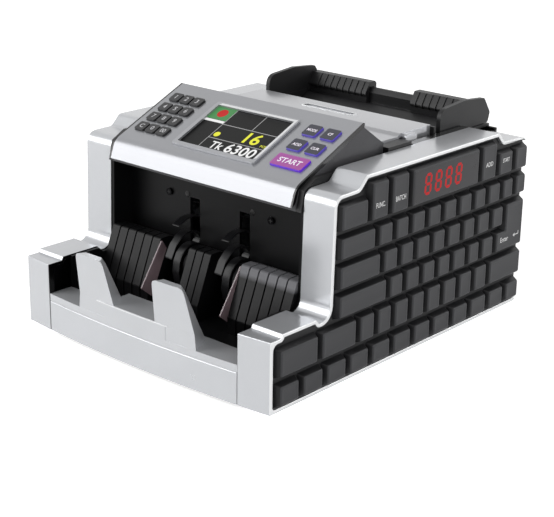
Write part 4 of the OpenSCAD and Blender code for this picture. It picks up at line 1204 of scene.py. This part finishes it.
# ---------------------------------------------------------------- operating panel
@dataclass
class OperatingPanel:
    """The sloping panel: number keys, colour display and function keys."""

    nose: Point2 = (66.0, 150.0)
    run: float = 78.7
    rise: float = 34.8
    proud: float = 1.8
    digit_x: Tuple[float, ...] = (-86.0, -73.8, -61.6)
    digit_v: Tuple[float, ...] = (65.5, 51.0, 36.7, 22.3)
    tool_x: Tuple[float, ...] = (65.3, 83.5)
    tool_v: Tuple[float, ...] = (43.5, 63.0)
    start: Point2 = (74.4, 23.5)
    screen: Point2 = (2.3, 41.5)
    screen_size: Point2 = (82.3, 52.8)
    frame_height: float = 2.0
    frame_width: float = 2.2
    glass: float = -0.2
    fascia_edge: float = 0.8
    frame_edge: float = 1.0
    pod_edge: float = 0.7

    def face(self) -> Face:
        """The sloping face, zero at its lower edge in the middle."""
        up = Vector((0.0, self.run, self.rise)).normalized()
        return Face(DATUM.at(0, *self.nose), RIGHT, up)

    def build(self) -> None:
        """Dresses the panel and adds the display's picture and the key legends."""
        DRESSER.soften("panel_fascia", self.fascia_edge)
        DRESSER.soften("display_frame", self.frame_edge, join=False)
        DRESSER.soften("panel_pod", self.pod_edge)
        DRESSER.paint("display_screen")
        DRESSER.paint("keypad_board")
        self.painted_highlight_edge()
        self.keys()
        self.picture()

    def painted_highlight_edge(self) -> None:
        """A near-white strip along the top and the right of the display's frame: a painted highlight
        where its edge catches the light.
        """
        (left, low), (right, top) = self.spot(0, 0), self.spot(1, 1)
        inner, outer = -0.2, self.frame_width - 0.2
        piece = Piece("display_painted_highlight_edge")
        corners = [
            (right + inner, low + 1), (right + outer, low + 2.5), (right + outer, top + outer),
            (left + 2.5, top + outer), (left + 1, top + inner), (right + inner, top + inner),
        ]
        piece.slab(self.face(), corners, 0.4, self.frame_height + 0.02)
        piece.done(PAINTED_HIGHLIGHT_LINE)

    def key(self, name: str, words: str, at: Point2, edge: float, tall: float, ink: Glow,
            bold: float, narrow: float) -> None:
        """Rounds one key and prints it.

        Args:
            name: what its node and its cap are called by.
            words: what is printed.
            at: its middle on the panel's face.
            edge: width of the rounding.
            tall: height of a capital.
            ink: what it is printed with.
            bold: how far each stroke is fattened.
            narrow: share of the letters' full width.
        """
        DRESSER.soften(f"key_{name}", edge, join=False)
        lettering(f"legend_{name}", words, self.face(), *at, tall, self.proud, ink,
                  f"key_{name}_cap", bold=bold, narrow=narrow)

    def keys(self) -> None:
        """Rounds and prints the number keys, the function keys and the start key."""
        for i, sign in enumerate(("1", "2", "3", "4", "5", "6", "7", "8", "9", "c", "0", "00")):
            at = self.digit_x[i % 3], self.digit_v[i // 3]
            self.key(sign, sign.upper(), at, 0.9, 4.7, KEY_INK, 0.06, 0.85 if sign == "00" else 1.0)
        for name, col, row in (("mode", 0, 1), ("cf", 1, 1), ("add", 0, 0), ("cur", 1, 0)):
            at = self.tool_x[col], self.tool_v[row]
            self.key(name, name.upper(), at, 1.5, 3.1, LIT_INK, 0.1, 0.82 if name == "mode" else 0.95)
        self.key("start", "START", self.start, 1.6, 5.8, LIT_INK, 0.16, 0.98)

    def spot(self, u: float, v: float) -> Point2:
        """The place on the panel's face at shares of the screen's width and height."""
        (cu, cv), (w, h) = self.screen, self.screen_size
        return cu + (u - 0.5) * w, cv + (v - 0.5) * h

    def area(self, u0: float, u1: float, v0: float, v1: float) -> List[Point2]:
        """The corners of a rectangle given in shares of the screen's width and height."""
        w, h = self.screen_size
        return rectangle((u1 - u0) * w, (v1 - v0) * h, *self.spot((u0 + u1) / 2, (v0 + v1) / 2))

    def picture(self) -> None:
        """The tiles, lines and numbers that the display shows."""
        face, glass, sunk = self.face(), self.glass, self.glass - 0.05
        for name, shares, light in (
            ("screen_tile_status", (0.0, 0.25, 0.0, 0.625), SCREEN_SHADE),
            ("screen_tile_list", (0.262, 0.63, 0.64, 1.0), SCREEN_SHADE),
            ("screen_tile_count", (0.645, 1.0, 0.64, 1.0), SCREEN_SHADE),
            ("screen_tile_amount", (0.262, 1.0, 0.0, 0.275), SCREEN_SHADE),
            ("screen_tile_total", (0.262, 1.0, 0.30, 0.615), SCREEN_SHADE),
            ("screen_tile_flag", (0.0, 0.25, 0.70, 1.0), SCREEN_GREEN),
            ("screen_strip", (0.0, 0.25, 0.635, 0.69), SCREEN_WHITE),
        ):
            piece = Piece(name)
            piece.slab(face, outline(self.area(*shares), 0.3, 3), sunk, glass + 0.02)
            piece.done(light)
        lines = Piece("screen_lines")
        for shares in ((0.253, 0.259, 0.0, 1.0), (0.635, 0.641, 0.63, 1.0),
                       (0.259, 1.0, 0.622, 0.632), (0.259, 1.0, 0.28, 0.29)):
            lines.slab(face, self.area(*shares), sunk, glass + 0.025)
        lines.done(SCREEN_LINE)
        for name, u, v, radius, light in (("screen_disc", 0.125, 0.86, 5.0, SCREEN_RED),
                                          ("screen_dot", 0.315, 0.385, 3.0, SCREEN_YELLOW)):
            disc = Piece(name)
            disc.slab(face, circle(*self.spot(u, v), radius, 32), glass, glass + 0.04)
            disc.done(light)
        for name, words, u, v, tall, light, bold, narrow in (
            ("screen_count", "16", 0.75, 0.462, 13.6, SCREEN_YELLOW, 0.4, 1.05),
            ("screen_unit", "PCS", 0.93, 0.355, 2.6, SCREEN_YELLOW, 0.05, 1.0),
            ("screen_currency", "Tk", 0.445, 0.145, 8.8, SCREEN_WHITE, 0.2, 0.95),
            ("screen_amount", "6300", 0.75, 0.155, 11.4, SCREEN_WHITE, 0.3, 1.02),
        ):
            lettering(name, words, face, *self.spot(u, v), tall, glass + 0.03, light,
                      bold=bold, narrow=narrow)


# ---------------------------------------------------------------- hopper
@dataclass
class Hopper:
    """The black note hopper with its two sliding guides."""

    guide_edge: float = 0.7
    tray_edge: float = 0.6
    floor_foot: Point2 = (246.0, 127.0)
    floor_run: float = 56.0
    floor_rise: float = 26.0
    sensor_x: Tuple[float, ...] = (-62.0, 0.0, 62.0)
    sensor_up: float = 44.0
    sensor_radius: float = 2.4

    def build(self) -> None:
        """Dresses the hopper and adds its note sensors."""
        DRESSER.soften("hopper_tray", self.tray_edge, 2, look=HOPPER_BLACK)
        for side in ("left", "right"):
            DRESSER.soften(f"hopper_guide_{side}", self.guide_edge, look=HOPPER_BLACK)
        self.sensors()

    def sensors(self) -> None:
        """Three dark lenses in the sloping hopper floor."""
        up = Vector((0.0, self.floor_run, self.floor_rise)).normalized()
        face = Face(DATUM.at(0, *self.floor_foot), RIGHT, up)
        piece = Piece("hopper_sensor_lenses")
        for u in self.sensor_x:
            piece.slab(face, circle(u, self.sensor_up, self.sensor_radius), -0.1, 0.3, 0.25)
        piece.done(LENS_DARK)


# ---------------------------------------------------------------- works and rear
@dataclass
class Works:
    """The drive, the electrics and the rear connections."""

    tyre_edge: float = 0.3
    inlet_edge: float = 0.4
    rocker_edge: float = 0.5

    def build(self) -> None:
        """Dresses everything inside the case and the power inlet."""
        for node in ("frame_plate_left", "frame_plate_right", "feed_shaft", "kicker_shaft",
                     "pinch_rollers", "motor", "motor_pulley", "shaft_bearings", "drive_belts",
                     "main_board", "case_screws"):
            DRESSER.paint(node)
        for node in ("feed_tyres", "kicker_tyres", "power_supply"):
            DRESSER.soften(node, self.tyre_edge, 2)
        DRESSER.soften("power_inlet", self.inlet_edge, 2)
        DRESSER.soften("rocker_switch", self.rocker_edge)


# ---------------------------------------------------------------- studio
@dataclass
class Studio:
    """Floor, lamps, surrounding light and camera."""

    floor_half: float = 14.0
    azimuth: float = 41.44
    elevation: float = 19.5
    roll: float = 0.85
    lens: float = 92.32
    fill: float = 0.22
    paper: float = 0.7
    stand: Place = (750.43, -691.92, 448.68)
    aim: Place = (0.0, 0.0, 0.09)
    lamps: Tuple[Tuple[str, Place, float, float], ...] = (
        ("front_lamp", (-1.5, -1.9, 1.2), 1.9, 40.0),
        ("side_lamp", (2.3, -0.9, 0.8), 1.1, 13.0),
        ("rim_lamp", (1.6, 1.8, 0.8), 0.9, 8.0),
        ("top_lamp", (0.1, 0.7, 2.0), 1.2, 8.0),
    )

    def floor(self) -> None:
        """A pale floor that keeps the shadow and fades into white."""
        bm = bmesh.new()
        bmesh.ops.create_grid(bm, x_segments=8, y_segments=8, size=self.floor_half)
        mesh = bpy.data.meshes.new("floor")
        bm.to_mesh(mesh)
        bm.free()
        material = bpy.data.materials.new("floor_paper")
        recipe = Recipe(material)
        diffuse = recipe.node("ShaderNodeBsdfDiffuse", {}, {"Color": (0.86, 0.86, 0.86, 1.0)})
        seen = self.seen(recipe)
        lit = recipe.node("ShaderNodeEmission", {}, {"Strength": seen * self.paper})
        both = recipe.node("ShaderNodeAddShader", {}, {0: diffuse, 1: lit})
        recipe.node("ShaderNodeOutputMaterial", {}, {"Surface": both})
        mesh.materials.append(material)
        made = show(bpy.data.objects.new("floor", mesh))

    @staticmethod
    def seen(recipe: Recipe) -> Signal:
        """One for rays that the eye follows, straight, mirrored or through glass."""
        path = "ShaderNodeLightPath"
        straight = recipe.node(path, out="Is Camera Ray")
        mirrored = recipe.node(path, out="Is Glossy Ray")
        through = recipe.node(path, out="Is Transmission Ray")
        return (straight + mirrored + through).at_most(1.0)

    def surroundings(self) -> None:
        """Even fill light under a white backdrop."""
        world = bpy.data.worlds.new("white_room")
        bpy.context.scene.world = world
        recipe = Recipe(world)
        strength = self.fill + self.seen(recipe) * (1.0 - self.fill)
        back = recipe.node(
            "ShaderNodeBackground", {}, {"Color": (1.0, 1.0, 1.0, 1.0), "Strength": strength}
        )
        recipe.node("ShaderNodeOutputWorld", {}, {"Surface": back})

    def lamp(self, name: str, place: Place, size: float, watts: float) -> None:
        """A square soft lamp aimed at the middle of the object.

        Args:
            name: the lamp's name.
            place: where it hangs, in metres.
            size: its side.
            watts: its power.
        """
        data = bpy.data.lights.new(name, "AREA")
        data.shape = "SQUARE"
        data.size = size
        data.energy = watts
        made = show(bpy.data.objects.new(name, data))
        made.location = place
        way = Vector(self.aim) - Vector(place)
        made.rotation_euler = way.to_track_quat("-Z", "Y").to_euler()

    def camera(self) -> None:
        """A camera in front and to the right, looking down at the machine."""
        a, e, r = (math.radians(v) for v in (self.azimuth, self.elevation, self.roll))
        ahead = Vector((-math.sin(a) * math.cos(e), math.cos(a) * math.cos(e), -math.sin(e)))
        right = Vector((math.cos(a), math.sin(a), 0.0))
        up = right.cross(ahead)
        turned = right * math.cos(r) + up * math.sin(r)
        above = up * math.cos(r) - right * math.sin(r)
        data = bpy.data.cameras.new("camera")
        data.lens = self.lens
        data.sensor_width = 36.0
        data.clip_start, data.clip_end = 0.05, 60.0
        made = show(bpy.data.objects.new("camera", data))
        turn = Matrix((turned, above, -ahead)).transposed().to_4x4()
        made.matrix_world = Matrix.Translation(DATUM.at(*self.stand)) @ turn
        bpy.context.scene.camera = made

    def build(self) -> None:
        """Sets the whole scene up."""
        self.floor()
        self.surroundings()
        for lamp in self.lamps:
            self.lamp(*lamp)
        self.camera()
        bpy.context.scene.view_settings.view_transform = "Standard"


def main() -> None:
    """Builds the machine's looks piece by piece."""
    logging.basicConfig(level=logging.INFO, format="%(message)s")
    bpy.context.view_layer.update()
    for part in (Case(), SideKeyboard(), Stacker(), OperatingPanel(), Hopper(), Works(), Studio()):
        part.build()
        log.info("%s done", type(part).__name__)
    bpy.context.view_layer.update()


if __name__ == "__main__":
    main()
